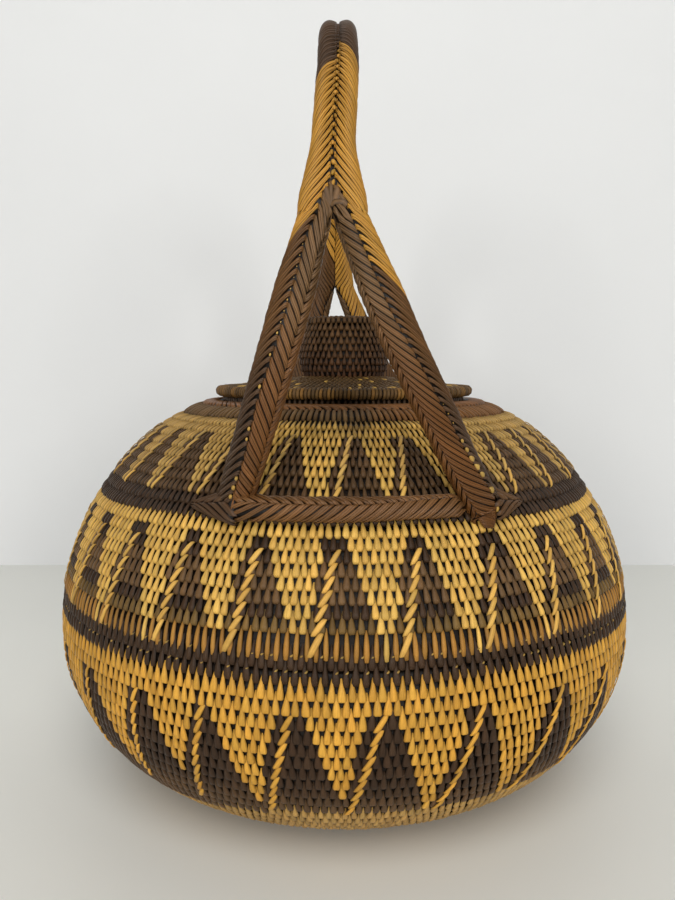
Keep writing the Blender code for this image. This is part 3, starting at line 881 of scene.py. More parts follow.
def add_lid_disc():
    disc_radius = LID_RADIUS - LID_EDGE_WIDTH
    top = Turned([(disc_radius, LID_TOP), (LID_HOLE_RADIUS, KNOB_BOTTOM)])
    under = Turned([(LID_HOLE_RADIUS, KNOB_BOTTOM - LID_THICKNESS), (disc_radius, LID_TOP - LID_THICKNESS)])
    weave = Weave(41)
    pitch = top.length / LID_ROWS
    shell = []
    for face in (top, under):
        for n in range(LID_ROWS):
            shell += [face.offset(pitch * n, -1.3 * MM), face.offset(pitch * (n + 0.5), -0.7 * MM)]
        shell.append(face.offset(face.length, -1.3 * MM))
    add_shell(weave, shell, SMALL_SHELL_STEPS)

    def top_colour(bearing):
        worn = 0.75 if weave.chance.random() < (0.16 if n == 0 else 0.05) else 0.0
        return mixed(LID_STRAW, PALE_STRAW, worn)

    for n in range(LID_ROWS):
        for face, wide, colour_at in ((top, 2.2, top_colour), (under, 2.4, lambda bearing: LID_STRAW)):
            count = stitch_count(face.at(pitch * n)[0], wide * MM)
            sew_row(weave, face, pitch * n, pitch, count, 0.5 * (n % 2), BAR_STITCH, colour_at)
    weave.finish("lid_rows", "lid", "dyed_straw", ["lid_disc"])


def add_lid_edge():
    weave = Weave(42)
    bend = (LID_TOP + 0.3 * MM - LID_BOTTOM) / 2
    middle = LID_BOTTOM + bend
    centre = LID_RADIUS - bend
    round_edge = [(centre + bend * math.cos(turn), middle + bend * math.sin(turn))
                  for turn in even_steps(-math.pi / 2, math.pi / 2, 8)]
    inner = LID_RADIUS - LID_EDGE_WIDTH
    edge = Turned([(inner, LID_BOTTOM)] + round_edge + [(inner, LID_BOTTOM + 2 * bend)])
    shell = [edge.offset(length, -0.8 * MM) for length in even_steps(0.0, edge.length, 14)]
    add_shell(weave, shell, SHELL_STEPS)
    sew_row(weave, edge, 0.0, edge.length, EDGE_WRAPS, 0.0, EDGE_WRAP,
            lambda bearing: mixed(LID_STRAW, OCHRE_STRAW, weave.chance.choice(EDGE_AGES)))
    weave.finish("lid_edge_wraps", "lid", "dyed_straw", ["lid_edge"])


def add_seat_ring():
    weave = Weave(43)
    seat_top = LID_BOTTOM - 0.3 * MM
    seat_bottom = seat_top - SEAT_DEPTH
    inner = SEAT_RADIUS - SEAT_WIDTH
    seat = Turned([(inner, seat_top), (inner, seat_bottom), (SEAT_RADIUS - SEAT_WIDTH / 2, seat_bottom),
                   (SEAT_RADIUS, seat_bottom), (SEAT_RADIUS, seat_top)])
    deep = 0.8 * MM
    shell = [(inner + deep, seat_top), (inner + deep, seat_bottom + deep),
             (SEAT_RADIUS - deep, seat_bottom + deep), (SEAT_RADIUS - deep, seat_top)]
    add_shell(weave, shell, SMALL_SHELL_STEPS)
    pitch = SEAT_DEPTH / 2
    for n in range(5):
        foot = n * pitch if n < 3 else SEAT_WIDTH + (n - 1) * pitch
        # The seat ring's rows are dark: painted shadow in the gap under the lid.
        sew_row(weave, seat, foot, pitch, SEAT_STITCHES, 0.5 * (n % 2), BAR_STITCH,
                lambda bearing: SEAT_PAINTED_SHADOW)
    weave.finish("seat_ring_rows", "lid", "natural_straw", ["lid_seat_ring"])


def knob_radius(height):
    share = (height - KNOB_BOTTOM) / (KNOB_TOP - KNOB_BOTTOM)
    if share < KNOB_WIDEST_SHARE:
        return mix(KNOB_RADIUS, KNOB_FOOT_RADIUS, (1.0 - share / KNOB_WIDEST_SHARE) ** 2)
    above = (share - KNOB_WIDEST_SHARE) / (1.0 - KNOB_WIDEST_SHARE)
    return mix(KNOB_RADIUS, KNOB_TOP_RADIUS, above * above)


def add_knob():
    weave = Weave(51)
    top = KNOB_TOP - KNOB_CAP_THICKNESS
    side = Turned([(knob_radius(z), z) for z in even_steps(KNOB_BOTTOM - KNOB_TUCK, top, 16)])
    pitch = side.length / KNOB_ROWS
    shell_rows = [(pitch * n, pitch) for n in range(KNOB_ROWS)]
    add_shell(weave, ribbed_outline(side, shell_rows, -KNOB_WALL, side.length), KNOB_SHELL_STEPS)
    for n in range(KNOB_ROWS):
        colour = mixed(LOW_KNOB_STRAW, KNOB_STRAW, n / (KNOB_ROWS - 1))
        sew_row(weave, side, pitch * n, pitch, KNOB_STITCHES, 0.5 * (n % 2), SLIM_STITCH,
                lambda bearing: colour)
    weave.finish("knob_rows", "lid", "dyed_straw", ["knob_wall"])


def add_knob_cap():
    weave = Weave(52)
    top = KNOB_TOP - KNOB_CAP_THICKNESS
    radius = knob_radius(top)
    sunk = 0.9 * MM
    cap = Turned([(radius, top), (radius, KNOB_TOP - 1.6 * MM), (radius - 0.5 * MM, KNOB_TOP - 0.5 * MM),
                  (radius - 1.6 * MM, KNOB_TOP), (0.0, KNOB_TOP)])
    shell = [cap.offset(length, -sunk) for length in even_steps(0.0, cap.length, 12)[:-1]]
    shell += [(0.0, KNOB_TOP - sunk), (0.0, top), (radius - sunk, top)]
    add_shell(weave, shell[::-1], KNOB_SHELL_STEPS)
    pitch = cap.length / CAP_ROWS
    for n in range(CAP_ROWS):
        count = stitch_count(cap.at(pitch * n + 0.1 * MM)[0], 2.5 * MM)
        sew_row(weave, cap, pitch * n, pitch, count, 0.5 * (n % 2), BAR_STITCH, lambda bearing: KNOB_STRAW)
    weave.finish("knob_cap_rows", "lid", "dyed_straw", ["knob_cap"])


# Handle: one limb is one cane's side of the arch with its leg, from the top to one foot


def wall_place(height, x, end):
    """Point on the wall's outside at a height and an x, with its normal there."""
    radius, z, out, up = WALL_OUTLINE.at(WALL_OUTLINE.length_at(height))
    y = end * math.sqrt(radius ** 2 - x ** 2)
    normal = Vector((x, y, 0.0)) / radius * out + Vector((0.0, 0.0, up))
    return Vector((x, y, z)), normal.normalized()


def in_wall(point):
    """Whether a point lies under the wall's outer surface, measured level."""
    if point[2] >= RIM_HEIGHT:
        return False
    radius = WALL_OUTLINE.at(WALL_OUTLINE.length_at(max(point[2], 0.1 * MM)))[0]
    return radius - math.hypot(point[0], point[1]) > 1.6 * MM


def leg_axes(tangent, out, side):
    """The axis across a leg, towards its outer side, and the one out of it, square to its run."""
    out = (out - tangent * out.dot(tangent)).normalized()
    across = tangent.cross(out)
    return (-across if across.x * side < 0.0 else across), out


FOOT_LIFT = 1.8 * MM
FOOT_LIFT_SHARE = 0.75
TOE_LENGTH = 12.0 * MM
TOE_HEIGHT = 124.8 * MM
TOE_X = 50.4 * MM
TOE_WIDTH = 4.5 * MM
TOE_DEPTH = 4.0 * MM
WEB_TURN = math.radians(127.0)
SEAM_TURN = math.radians(155.0)
WEB_DEPTH_SHARE = 0.92
HAND_SWAY = {LEFT: ((95.0, 0.8), (117.0, 0.0), (140.0, -1.0)),
             RIGHT: ((95.0, 0.8), (117.0, 0.0), (140.0, -1.0), (212.0, -1.0), (238.0, 0.0))}


class Limb:
    """The surface that strips follow: run is the length from the arch's top, turn goes round it.

    A turn of 0 is the limb's outer side, 90 degrees the face away from the basket, 180 the side
    towards the other limb.
    """

    def __init__(self, end, side):
        self.end = end
        self.side = side
        centre, along, _ = self.arch_frame(CROTCH_RUN)
        self.top = centre + Vector((side * CROTCH_SPACING / 2, 0.0, 0.0))
        self.foot, _ = wall_place(FOOT_HEIGHT, FOOT_X[side], end)
        self.knee = self.top + along * ((self.top.z - self.foot.z) / 2 / abs(along.z))
        self.knee.x = mix(self.top.x, self.foot.x, LEG_SPREAD_SHARE)
        self.leg_length = (self.foot - self.top).length

    def arch_frame(self, run):
        angle = run / ARCH_RADIUS
        out = Vector((0.0, self.end * math.sin(angle), math.cos(angle)))
        centre = Vector((HANDLE_SHIFT, 0.0, ARCH_CENTRE_HEIGHT)) + out * ARCH_RADIUS
        return centre, Vector((0.0, self.end * math.cos(angle), -math.sin(angle))), out

    def place(self, run):
        """Centre, axis towards the outer side, outward axis, half width and half depth."""
        if run <= CROTCH_RUN:
            return self.arch_place(run)
        share = (run - CROTCH_RUN) / self.leg_length
        if share > 1.0 and self.side == RIGHT:
            return self.toe_place(1.0 - math.exp((1.0 - share) * self.leg_length / TOE_LENGTH))
        held = min(share, 1.0)
        centre = self.top * (1 - held) ** 2 + self.knee * (2 * held * (1 - held)) + self.foot * held ** 2
        tangent = ((self.knee - self.top) * (1 - held) + (self.foot - self.knee) * held).normalized()
        centre += tangent * ((share - held) * self.leg_length)
        across, out = leg_axes(tangent, Vector((centre.x, centre.y, 0.0)).normalized(), self.side)
        if self.side == RIGHT:
            centre += out * (FOOT_LIFT * smooth_step(FOOT_LIFT_SHARE, 1.0, share))
        width = mix(LEG_TOP_WIDTH, LEG_WIDTH, smooth_step(0.0, LEG_WIDE_SHARE, share))
        return centre, across, out, width / 2, LEG_DEPTH / 2

    def arch_place(self, run):
        centre, _, out = self.arch_frame(run)
        spread = smooth_step(WIDENING_RUN, CROTCH_RUN, run)
        half = mix(GRIP_WIDTH * CANE_HALF_SHARE, LEG_TOP_WIDTH / 2, spread)
        offset = mix(GRIP_WIDTH * CANE_OFFSET_SHARE, CROTCH_SPACING / 2, spread)
        across = Vector((self.side, 0.0, 0.0))
        return centre + across * offset, across, out, half, mix(GRIP_DEPTH, LEG_DEPTH, spread) / 2

    def toe_place(self, gone):
        """The right leg runs on along the wall past the bar, to a blunt point."""
        def on_wall(share):
            return wall_place(mix(FOOT_HEIGHT, TOE_HEIGHT, share), mix(self.foot.x, TOE_X, share), self.end)

        centre, normal = on_wall(gone)
        ahead, _ = on_wall(gone + 0.1)
        turned = smooth_step(0.0, 0.8, gone)
        leg = (self.foot - self.knee).normalized()
        tangent = leg.lerp((ahead - centre).normalized(), turned).normalized()
        out = Vector((centre.x, centre.y, 0.0)).normalized().lerp(normal, turned)
        across, out = leg_axes(tangent, out, self.side)
        centre += out * (FOOT_LIFT * (1.0 - gone))
        return (centre, across, out, mix(LEG_WIDTH, TOE_WIDTH, gone ** 3) / 2,
                mix(LEG_DEPTH, TOE_DEPTH, gone) / 2)

    def point(self, run, turn, lift):
        centre, across, out, half, deep = self.place(run)
        held = min(max(turn, -WEB_TURN), WEB_TURN) if run < CROTCH_RUN else turn
        x, d = half * math.cos(held), deep * math.sin(held)
        nx, nd = math.cos(held) / half, math.sin(held) / deep
        size = math.hypot(nx, nd)
        nx, nd = nx / size, nd / size
        if held != turn:  # the web of strips between the two canes
            middle = -(centre.x - HANDLE_SHIFT) * self.side
            share = min((abs(turn) - WEB_TURN) / (SEAM_TURN - WEB_TURN), 1.0)
            x, d = mix(x, middle, share), d * mix(1.0, WEB_DEPTH_SHARE, share)
            nx, nd = 0.0, math.copysign(1.0, turn)
        sway = Vector((between(HAND_SWAY[self.side], run / MM) * MM, 0.0, 0.0))
        return centre + sway + across * (x + nx * lift) + out * (d + nd * lift)


LIMBS = {(end, side): Limb(end, side) for end in (NEAR, FAR) for side in (LEFT, RIGHT)}


def limb_surface(end, side):
    """A limb's surface that also runs on over the top of the arch, for runs below zero."""
    here, there = LIMBS[end, side], LIMBS[-end, side]
    return lambda run, turn, lift: (here if run >= 0.0 else there).point(abs(run), turn, lift)


# How the strips wind: stops of (run in mm, degrees round the limb) and of (run in mm, climb)

STRIP_PITCH = 3.6 * MM
STRANDS = 3
WINDING_RADIUS = 5.3 * MM
GROOVE_TURN = math.radians(146.0)
ARCH_FOLD = 152.0
SEAM_GAP = math.radians(10.0)
SHARP, EASY = 0.001, 0.20
HOLE_SEAM = {
    LEFT: ((149.0, 152.0), (157.5, 101.0), (168.5, 77.0), (184.0, 80.0), (197.0, 79.0), (224.5, 70.0),
           (238.0, 80.0), (252.0, 85.0)),
    RIGHT: ((149.0, 152.0), (155.5, 111.0), (162.5, 82.0), (197.0, 84.0), (214.5, 70.0), (238.0, 65.0),
            (252.5, 60.0), (262.0, 47.0), (280.0, 38.0)),
}
FOLD = {
    LEFT: ((162.0, 153.0), (169.0, 157.0), (176.0, 141.0), (192.0, 136.0), (223.0, 142.0), (246.0, 156.0)),
    RIGHT: ((162.0, 153.0), (173.0, 157.0), (184.0, 148.0), (215.0, 142.0), (241.0, 142.0)),
}
BACK_SEAM = ((160.0, 153.0), (172.0, 114.0))
FLANK_CLIMB = {
    LEFT: ((0.0, 0.0), (60.0, 0.6), (98.0, 0.85), (114.0, 1.4), (150.0, 1.25), (172.0, 1.8), (240.0, 1.9)),
    RIGHT: ((0.0, 0.0), (50.0, 1.0), (84.0, 1.3), (150.0, 1.35), (180.0, 2.1), (250.0, 2.3)),
}
FRONT_CLIMB = {
    LEFT: ((160.0, 2.1), (182.0, 1.6), (230.0, 1.45), (248.0, 0.8)),
    RIGHT: ((163.0, 1.4), (192.0, 1.8), (222.0, 2.5), (240.0, 2.0), (256.0, 1.5)),
}
INNER_CLIMB = 1.3
DARK_RUN = {LEFT: 98.5 * MM, RIGHT: 84.0 * MM}
GOLD_RUN = {(NEAR, LEFT): 161.0 * MM, (NEAR, RIGHT): 178.5 * MM, (FAR, LEFT): 110.0 * MM,
            (FAR, RIGHT): 166.0 * MM}
AGED_RUNS = {LEFT: (185.0 * MM, 225.0 * MM), RIGHT: (205.0 * MM, 245.0 * MM)}
WARM_RUNS = (175.0 * MM, 225.0 * MM)
FLANK_END = 275.0 * MM
FRONT_END = {LEFT: 284.0 * MM, RIGHT: 308.0 * MM}
INNER_END = 285.0 * MM
FRONT_START = {LEFT: 40.5 * STRIP_PITCH, RIGHT: 42.5 * STRIP_PITCH}
# The tip of a strip: degrees from its start, width share, lift in mm, shift up the limb in pitches
FINGER_TIP = ((0, 0.40, -0.60, 0.0), (3, 0.56, 0.30, 0.15), (10, 0.64, 0.58, 0.12), (22, 0.72, 0.46, 0.06),
              (34, 0.83, 0.24, 0.0))
PLAIN_TIP = ((0, 0.76, -0.55, 0.0), (5, 0.84, 0.08, 0.0), (12, 0.87, 0.16, 0.0))
PLAIN_PART = (0.87, 0.12, 0.0)
WINDING_STEP = math.radians(12.0)
SPREAD_LIMITS = (0.35, 2.4)
# How far strips sink at their edges and between strands, and how dark they are painted there: painted shade
# and dirt in the grooves.
EDGE_DROP, EDGE_SHADE = 0.85, 0.02
CREASE_DROP, CREASE_SHADE = 0.22, 0.60
MIDDLE_BOW = 0.22
LEG_CORE_LIFT = -0.95 * MM


def hole_seam(side, run):
    """Where the row of holes lies round a limb."""
    return math.radians(between(HOLE_SEAM[side], run / MM))


def fold_turn(side, run):
    """Where the strips fold back near the inner edge of a leg, or meet above the fork."""
    return math.radians(ARCH_FOLD if run < CROTCH_RUN else between(FOLD[side], run / MM))


def back_seam(run):
    return math.radians(between(BACK_SEAM, run / MM))


class Winding:
    """A set of strips round a limb: where they start, which way they go, how they climb and end."""

    def __init__(self, start, way, climb, ease, end, tip, tail):
        self.start = start
        self.way = way
        self.climb = climb
        self.ease = ease
        self.end = end
        self.tip = tip
        self.tail = tail

    def run_at(self, run, turn):
        gone = max(self.way * (turn - self.start(run)), 0.0)
        return run + self.climb(run) * WINDING_RADIUS * gone * gone / (gone + self.ease)

    def path(self, run):
        """Stations of (run, turn, width share, lift in mm) along the strip that starts at a run."""
        steps = [math.radians(stop[0]) for stop in self.tip]
        steps += [steps[-1] + WINDING_STEP * n for n in range(1, 32)]
        stations = []
        for order, gone in enumerate(steps):
            turn = self.start(run) + self.way * gone
            last_turn = self.end(self.run_at(run, turn))
            ended = self.way * (turn - last_turn) >= 0.0
            width, lift, shift = self.tip[order][1:] if order < len(self.tip) else PLAIN_PART
            if ended:
                turn = last_turn
                width, lift = self.tail
            spread = (self.run_at(run + MM, turn) - self.run_at(run - MM, turn)) / (2 * MM)
            here = self.run_at(run, turn) - shift * STRIP_PITCH
            stations.append((here, turn, width * min(max(spread, SPREAD_LIMITS[0]), SPREAD_LIMITS[1]), lift))
            if ended:
                break
        return stations


def flank_winding(side):
    """From the seam of holes over the outer side to the back."""
    return Winding(lambda run: min(hole_seam(side, run) + SEAM_GAP, GROOVE_TURN), -1,
                   lambda run: between(FLANK_CLIMB[side], run / MM), EASY,
                   lambda run: -back_seam(run), FINGER_TIP, (0.60, -0.55))


def front_winding(side):
    """Between the seam of holes and the fold, down towards the fold on the left leg only."""
    def climb(run):
        return between(FRONT_CLIMB[side], run / MM)

    def seam(run):
        return hole_seam(side, run) + SEAM_GAP

    def fold(run):
        return fold_turn(side, run)

    if side == LEFT:
        return Winding(seam, 1, climb, SHARP, fold, PLAIN_TIP, (0.90, -0.40))
    return Winding(fold, -1, climb, SHARP, seam, PLAIN_TIP, (0.80, -0.40))


def inner_winding(side):
    """From the fold over the inner side to the back."""
    return Winding(lambda run: fold_turn(side, run), 1, lambda run: INNER_CLIMB * side, SHARP,
                   lambda run: math.tau - back_seam(run) - math.radians(4.0), PLAIN_TIP, (0.70, -0.5))


def add_core(weave, surface, runs, count, lift, up):
    """The core under the strips of a leg, a bar or an ear, painted near black as their shadow."""
    turns = [math.tau * n / count for n in range(count)]
    weave.lay_tube([[tuple(surface(run, turn, lift)) for turn in turns] for run in runs], up)


def lay_strip(weave, surface, path, width, colour, strands, stop=None):
    """A strip of fine strands side by side. path gives (run, turn, width share, lift) in turn."""
    colour = toned(colour, weave.chance.uniform(0.80, 1.14))
    raised = weave.slip(0.10)
    wide = width / strands
    for strand in range(strands):
        offset = (strand - (strands - 1) / 2) * width / strands
        edges = (strand == 0, strand == strands - 1)
        drops = [EDGE_DROP if edge else CREASE_DROP for edge in edges]
        shades = [EDGE_SHADE if edge else CREASE_SHADE for edge in edges]
        bowed = raised + (0.0 if any(edges) else MIDDLE_BOW)
        stations = []
        for run, turn, share, lift in path:
            row = []
            for column, drop in zip((-1, 0, 1), (drops[0], 0.0, drops[1])):
                here = run + (offset + column * 0.5 * wide) * share
                row.append(tuple(surface(here, turn, (lift + bowed - drop) * MM)))
            if stop is not None and stop(row[1]):
                if stations:
                    break
                continue
            stations.append(row)
        if len(stations) > 2:
            run, turn, _, _ = path[len(stations) // 2 - 1]
            up = surface(run, turn, 1.0 * MM) - surface(run, turn, 0.0)
            # Painted shade and dirt at the strands' edges and creases.
            crowns = [(shades[0], 1.0, shades[1])] * len(stations)
            weave.lay(stations, crowns, colour, up, spread=(0.86, 1.10))


def lay_ribbon(weave, points, normals, width, colour):
    """A single strip through free points, with the direction out of the surface at each."""
    stations = []
    for order, (point, normal) in enumerate(zip(points, normals)):
        ahead = points[min(order + 1, len(points) - 1)] - points[max(order - 1, 0)]
        across = normal.cross(ahead).normalized() * width / 2
        sunk = point - normal * 0.45 * MM
        stations.append([tuple(sunk - across), tuple(point), tuple(sunk + across)])
    # Painted shade and dirt along the ribbon's edges.
    weave.lay(stations, [(0.15, 1.0, 0.15)] * len(stations), colour, normals[len(normals) // 2])


def strip_starts(first, last):
    return [first + STRIP_PITCH * n for n in range(int((last - first) / STRIP_PITCH))]


def flank_dye(end, side, run):
    if DARK_RUN[side] < run < GOLD_RUN[end, side]:
        return GOLD_STRIP
    return mixed(BROWN_STRIP, DARK_STRIP, smooth_step(*AGED_RUNS[side], run))


# Greyer brown high on the legs, warmer brown lower down.
def front_dye(run):
    return mixed(GREY_BROWN_STRIP, WARM_STRIP, smooth_step(*WARM_RUNS, run))


def add_handle_end(end):
    arch = Weave(61 + end)
    legs = {LEFT: Weave(71 + end), RIGHT: Weave(74 + end)}
    for side, leg in legs.items():
        add_leg(leg, arch, end, side)
    add_fork_knot(legs[RIGHT], end)
    for side, leg in legs.items():
        where = END_NAMES[end] + "_" + SIDE_NAMES[side]
        leg.finish("leg_strips_" + where, "basket", "brown_binding", ["leg_binding_" + where])
    add_arch_core(arch, end, DARK_RUN[RIGHT] + 4.0 * MM, CROTCH_RUN)
    add_seam_beads(arch, end, DARK_RUN[LEFT] - 8.0 * MM, 156.0 * MM)
    name = END_NAMES[end]
    arch.finish("grip_strips_" + name, "basket", "golden_binding", ["grip_binding_" + name])


def add_leg(leg, arch, end, side):
    """One limb below the dark top: golden strips go to the arch's piece, brown ones to the leg's."""
    surface = limb_surface(end, side)
    flank = flank_winding(side)
    for run in strip_starts(0.5 * STRIP_PITCH, FLANK_END):
        if run > DARK_RUN[side]:
            weave = arch if run < GOLD_RUN[end, side] else leg
            colour = flank_dye(end, side, run)
            lay_strip(weave, surface, flank.path(run), STRIP_PITCH, colour, STRANDS, in_wall)
    add_leg_front(leg, surface, side)
    add_seam_flecks(leg, surface, side)
    foot = CROTCH_RUN + LIMBS[end, side].leg_length
    core = even_steps(CROTCH_RUN - 1.0 * MM, foot, 14)
    if side == RIGHT:
        core += even_steps(foot, foot + TOE_LENGTH, 6)[1:]
    add_core(leg, surface, core, 14, LEG_CORE_LIFT, LIMBS[end, side].place(core[7])[2])


def add_leg_front(weave, surface, side):
    """The strips from the seam of holes to the fold at the inner edge, and from it to the back."""
    below_fork = CROTCH_RUN + 0.5 * MM
    front = [(run, front_winding(side).path(run), 1.0)
             for run in strip_starts(FRONT_START[side], FRONT_END[side])]
    inner = [(run, [station for station in inner_winding(side).path(run) if station[0] > below_fork], 0.9)
             for run in strip_starts(FRONT_START[side], INNER_END)]
    for run, path, tone in front + inner:
        if len(path) > 3:
            lay_strip(weave, surface, path, STRIP_PITCH, toned(front_dye(run), tone), STRANDS, in_wall)


FLECK_RUNS = {LEFT: (172.0 * MM, 262.0 * MM), RIGHT: (228.0 * MM, 262.0 * MM)}
LARGEST_FLECK = {LEFT: 1.25, RIGHT: 1.7}
FLECK_SHAPE = (0.9, 0.6, 0.5)


def add_seam_flecks(weave, surface, side):
    """Bits of pale straw that show in the holes low on the legs."""
    for run in strip_starts(0.0, 282.0 * MM):
        if run > FLECK_RUNS[side][0] and weave.chance.random() < 0.75:
            turn = hole_seam(side, run) + SEAM_GAP / 2
            place = surface(run, turn, -0.1 * MM)
            if in_wall(place):
                continue
            out = (surface(run, turn, 0.9 * MM) - place) / MM
            along = (surface(run + 1.0 * MM, turn, -0.1 * MM) - place).normalized()
            grown = mix(0.25, LARGEST_FLECK[side], smooth_step(*FLECK_RUNS[side], run))
            size = toned(FLECK_SHAPE, grown * weave.chance.uniform(0.7, 1.2) * MM)
            add_bead(weave, place, along, out, size, FLECK_STRAW)


def web_point(end, x, run, lift):
    """A point on the front of the arch by its distance from the arch's middle."""
    limb = LIMBS[end, RIGHT if x > 0.0 else LEFT]
    centre, _, _, half, _ = limb.place(run)
    offset = abs(centre.x - HANDLE_SHIFT)
    edge = offset + half * math.cos(WEB_TURN)
    if abs(x) < edge:
        turn = mix(SEAM_TURN, WEB_TURN, abs(x) / edge)
    else:
        turn = math.acos(min((abs(x) - offset) / half, 1.0))
    return limb.point(run, turn, lift)


FORK_STRIPS = (  # places of (x, run) from end to end, width
    (((-2.4, 152.0), (-2.0, 154.0), (-1.4, 156.5), (-0.8, 159.5)), 2.2),
    (((-0.4, 151.0), (-0.5, 153.5), (-0.5, 156.0), (-0.4, 159.0)), 1.6),
    (((1.8, 152.5), (1.6, 154.5), (1.2, 156.5), (0.6, 159.0)), 2.2),
    (((-0.6, 159.0), (0.8, 158.4), (2.4, 158.3), (3.8, 158.9), (4.6, 159.8)), 1.8),
)


def add_fork_knot(weave, end):
    """The short strips and the band that ties them where the handle forks."""
    for places, width in FORK_STRIPS:
        points, normals = [], []
        for order, (x, run) in enumerate(places):
            flat = web_point(end, x * MM, run * MM, 0.0)
            normal = (web_point(end, x * MM, run * MM, 1.0 * MM) - flat) / MM
            lift = -0.3 if order in (0, len(places) - 1) else 0.75
            points.append(flat + normal * lift * MM)
            normals.append(normal)
        lay_ribbon(weave, points, normals, width * MM, toned(GREY_BROWN_STRIP, 0.9))


def add_arch_core(weave, end, start, finish):
    """The core inside the arch's strips, both canes in one, painted near black as their shadow."""
    left, right = LIMBS[end, LEFT], LIMBS[end, RIGHT]
    turns = [math.radians(t) for t in (150, 127, 100, 75, 50, 25, 0, -25, -50, -75, -100, -127, -150)]
    rings = []
    for run in even_steps(start, finish, 12):
        ring = [tuple(right.point(run, turn, LEG_CORE_LIFT)) for turn in turns]
        ring += [tuple(left.point(run, turn, LEG_CORE_LIFT)) for turn in turns[::-1]]
        rings.append(ring)
    weave.lay_tube(rings, left.place(start)[2])


def add_bead(weave, place, along, out, size, colour):
    """A small knot: a closed bead of a few faces, with its sizes along, across and out."""
    across = out.cross(along)
    rows = []
    for level in (-0.9, -0.45, 0.0, 0.45, 0.9):
        reach = math.sqrt(1.0 - level * level)
        rows.append([tuple(place + along * (level * size[0]) + across * (math.cos(turn) * reach * size[1])
                           + out * (math.sin(turn) * reach * size[2]))
                     for turn in (math.tau * n / 7 for n in range(7))])
    weave.lay(rows, [[0.8] * 7] * len(rows), colour, out, ring=True)


BEAD_LIFT = -0.35 * MM


def add_seam_beads(weave, end, start, finish):
    """The row of small knots in the seam between the two canes."""
    for order, run in enumerate(strip_starts(start, finish)):
        place = web_point(end, weave.slip(0.35) * MM, run, BEAD_LIFT)
        _, along, out = LIMBS[end, LEFT].arch_frame(run)
        axis = (along + Vector((weave.slip(0.7), 0.0, 0.0))).normalized()
        size = (weave.chance.uniform(0.9, 1.25) * MM, weave.chance.uniform(0.6, 0.85) * MM, 0.8 * MM)
        add_bead(weave, place, axis, out, size, mixed(KNOT_STRIP, GOLD_STRIP, order % 2 * 0.8))


def add_grip_top():
    """The dark strips over the top of the arch, down to where the golden ones start."""
    weave = Weave(81)
    for end in (NEAR, FAR):
        for side in (LEFT, RIGHT):
            surface = limb_surface(end, side)
            flank = flank_winding(side)
            for run in strip_starts(0.5 * STRIP_PITCH, FLANK_END):
                if run <= DARK_RUN[side]:
                    lay_strip(weave, surface, flank.path(run), STRIP_PITCH, DARK_STRIP, STRANDS)
        add_arch_core(weave, end, 0.0, DARK_RUN[RIGHT] + 4.0 * MM)
        for run in strip_starts(STRIP_PITCH, DARK_RUN[LEFT] - 8.0 * MM):
            _, along, out = LIMBS[end, LEFT].arch_frame(run)
            size = (1.0 * MM, 0.7 * MM, 0.7 * MM)
            add_bead(weave, web_point(end, 0.0, run, BEAD_LIFT), along, out, size, DARK_STRIP)
    weave.finish("grip_strips_top", "basket", "brown_binding", ["grip_binding_top"])


# Crossbars and ears

BAR_HEIGHT = 132.0 * MM
BAR_LOW, BAR_HIGH = -39.4 * MM, 40.6 * MM
BAR_TALL, BAR_DEEP = 9.0 * MM, 7.6 * MM
BAR_PITCH = 3.9 * MM
EAR_HEIGHT = 132.5 * MM
EAR_REACH = LEG_WIDTH / 2 + 9.0 * MM
EAR_ROOT = {LEFT: 2.0 * MM, RIGHT: 4.4 * MM}
EAR_SIZES = {LEFT: (15.6 * MM, 7.8 * MM), RIGHT: (14.4 * MM, 6.4 * MM)}
EAR_TIP_SIZES = (3.0 * MM, 2.8 * MM)
EAR_PITCH = 4.4 * MM
EAR_CLIMB = 1.8
EAR_AGE = {LEFT: 0.2, RIGHT: 0.7}
LASHING_TURN = math.radians(118.0)
LASHING_RADIUS = 4.2 * MM
LASHING_SINK = 0.8 * MM


class Lashing:
    """A bound bar or ear that lies on the wall; run is its x and turn goes round it from its top."""

    def __init__(self, end, height, sizes):
        self.end = end
        self.height = height
        self.sizes = sizes

    def point(self, run, turn, lift):
        point, normal = wall_place(self.height, run, self.end)
        tall, deep = self.sizes(run)
        flat = Vector((-point.y, point.x, 0.0)).normalized()
        up = flat.cross(normal)
        if up.z < 0.0:
            up = -up
        a, b = tall / 2, deep / 2
        x, d = a * math.cos(turn), b * math.sin(turn)
        nx, nd = math.cos(turn) / a, math.sin(turn) / b
        size = math.hypot(nx, nd)
        centre = point + normal * (deep / 2 - LASHING_SINK)
        return centre + up * (x + nx / size * lift) + normal * (d + nd / size * lift)


CHEVRON_SHARES = (0.0, 0.05, 0.12, 0.2, 0.3, 0.4, 0.5, 0.6, 0.7, 0.8, 0.9, 1.0)
CHEVRON_LIFTS = (-0.45, 0.24, 0.40) + (0.14,) * 8 + (-0.6,)


def wind_lashing(weave, surface, spans, apex_at, heading, climb_at, pitch, colour, strands):
    """Chevrons along a lashing: strips run back from a ridge line on both sides of it.

    spans holds the first and last run of the ridge's strips, then the ends that no strip passes.
    """
    run, finish, low, high = spans
    while run <= finish:
        for way in (-1, 1):
            path = []
            apex = apex_at(run)
            for share, lift in zip(CHEVRON_SHARES, CHEVRON_LIFTS):
                turn = apex + way * LASHING_TURN * share
                climbed = climb_at(run, way) * LASHING_RADIUS * LASHING_TURN * share
                here = run - heading * (climbed + (way + 1) / 4 * pitch)
                held = min(max(here, low), high)
                if held == here:
                    path.append((here, turn, 0.88, lift))
                elif len(path) > 1:
                    path.append((held, turn, 0.7, -0.6))
                    break
                else:
                    path = [(held, turn, 0.8, -0.3)]
            if len(path) > 3:
                lay_strip(weave, surface, path, pitch, colour, strands)
        run += pitch


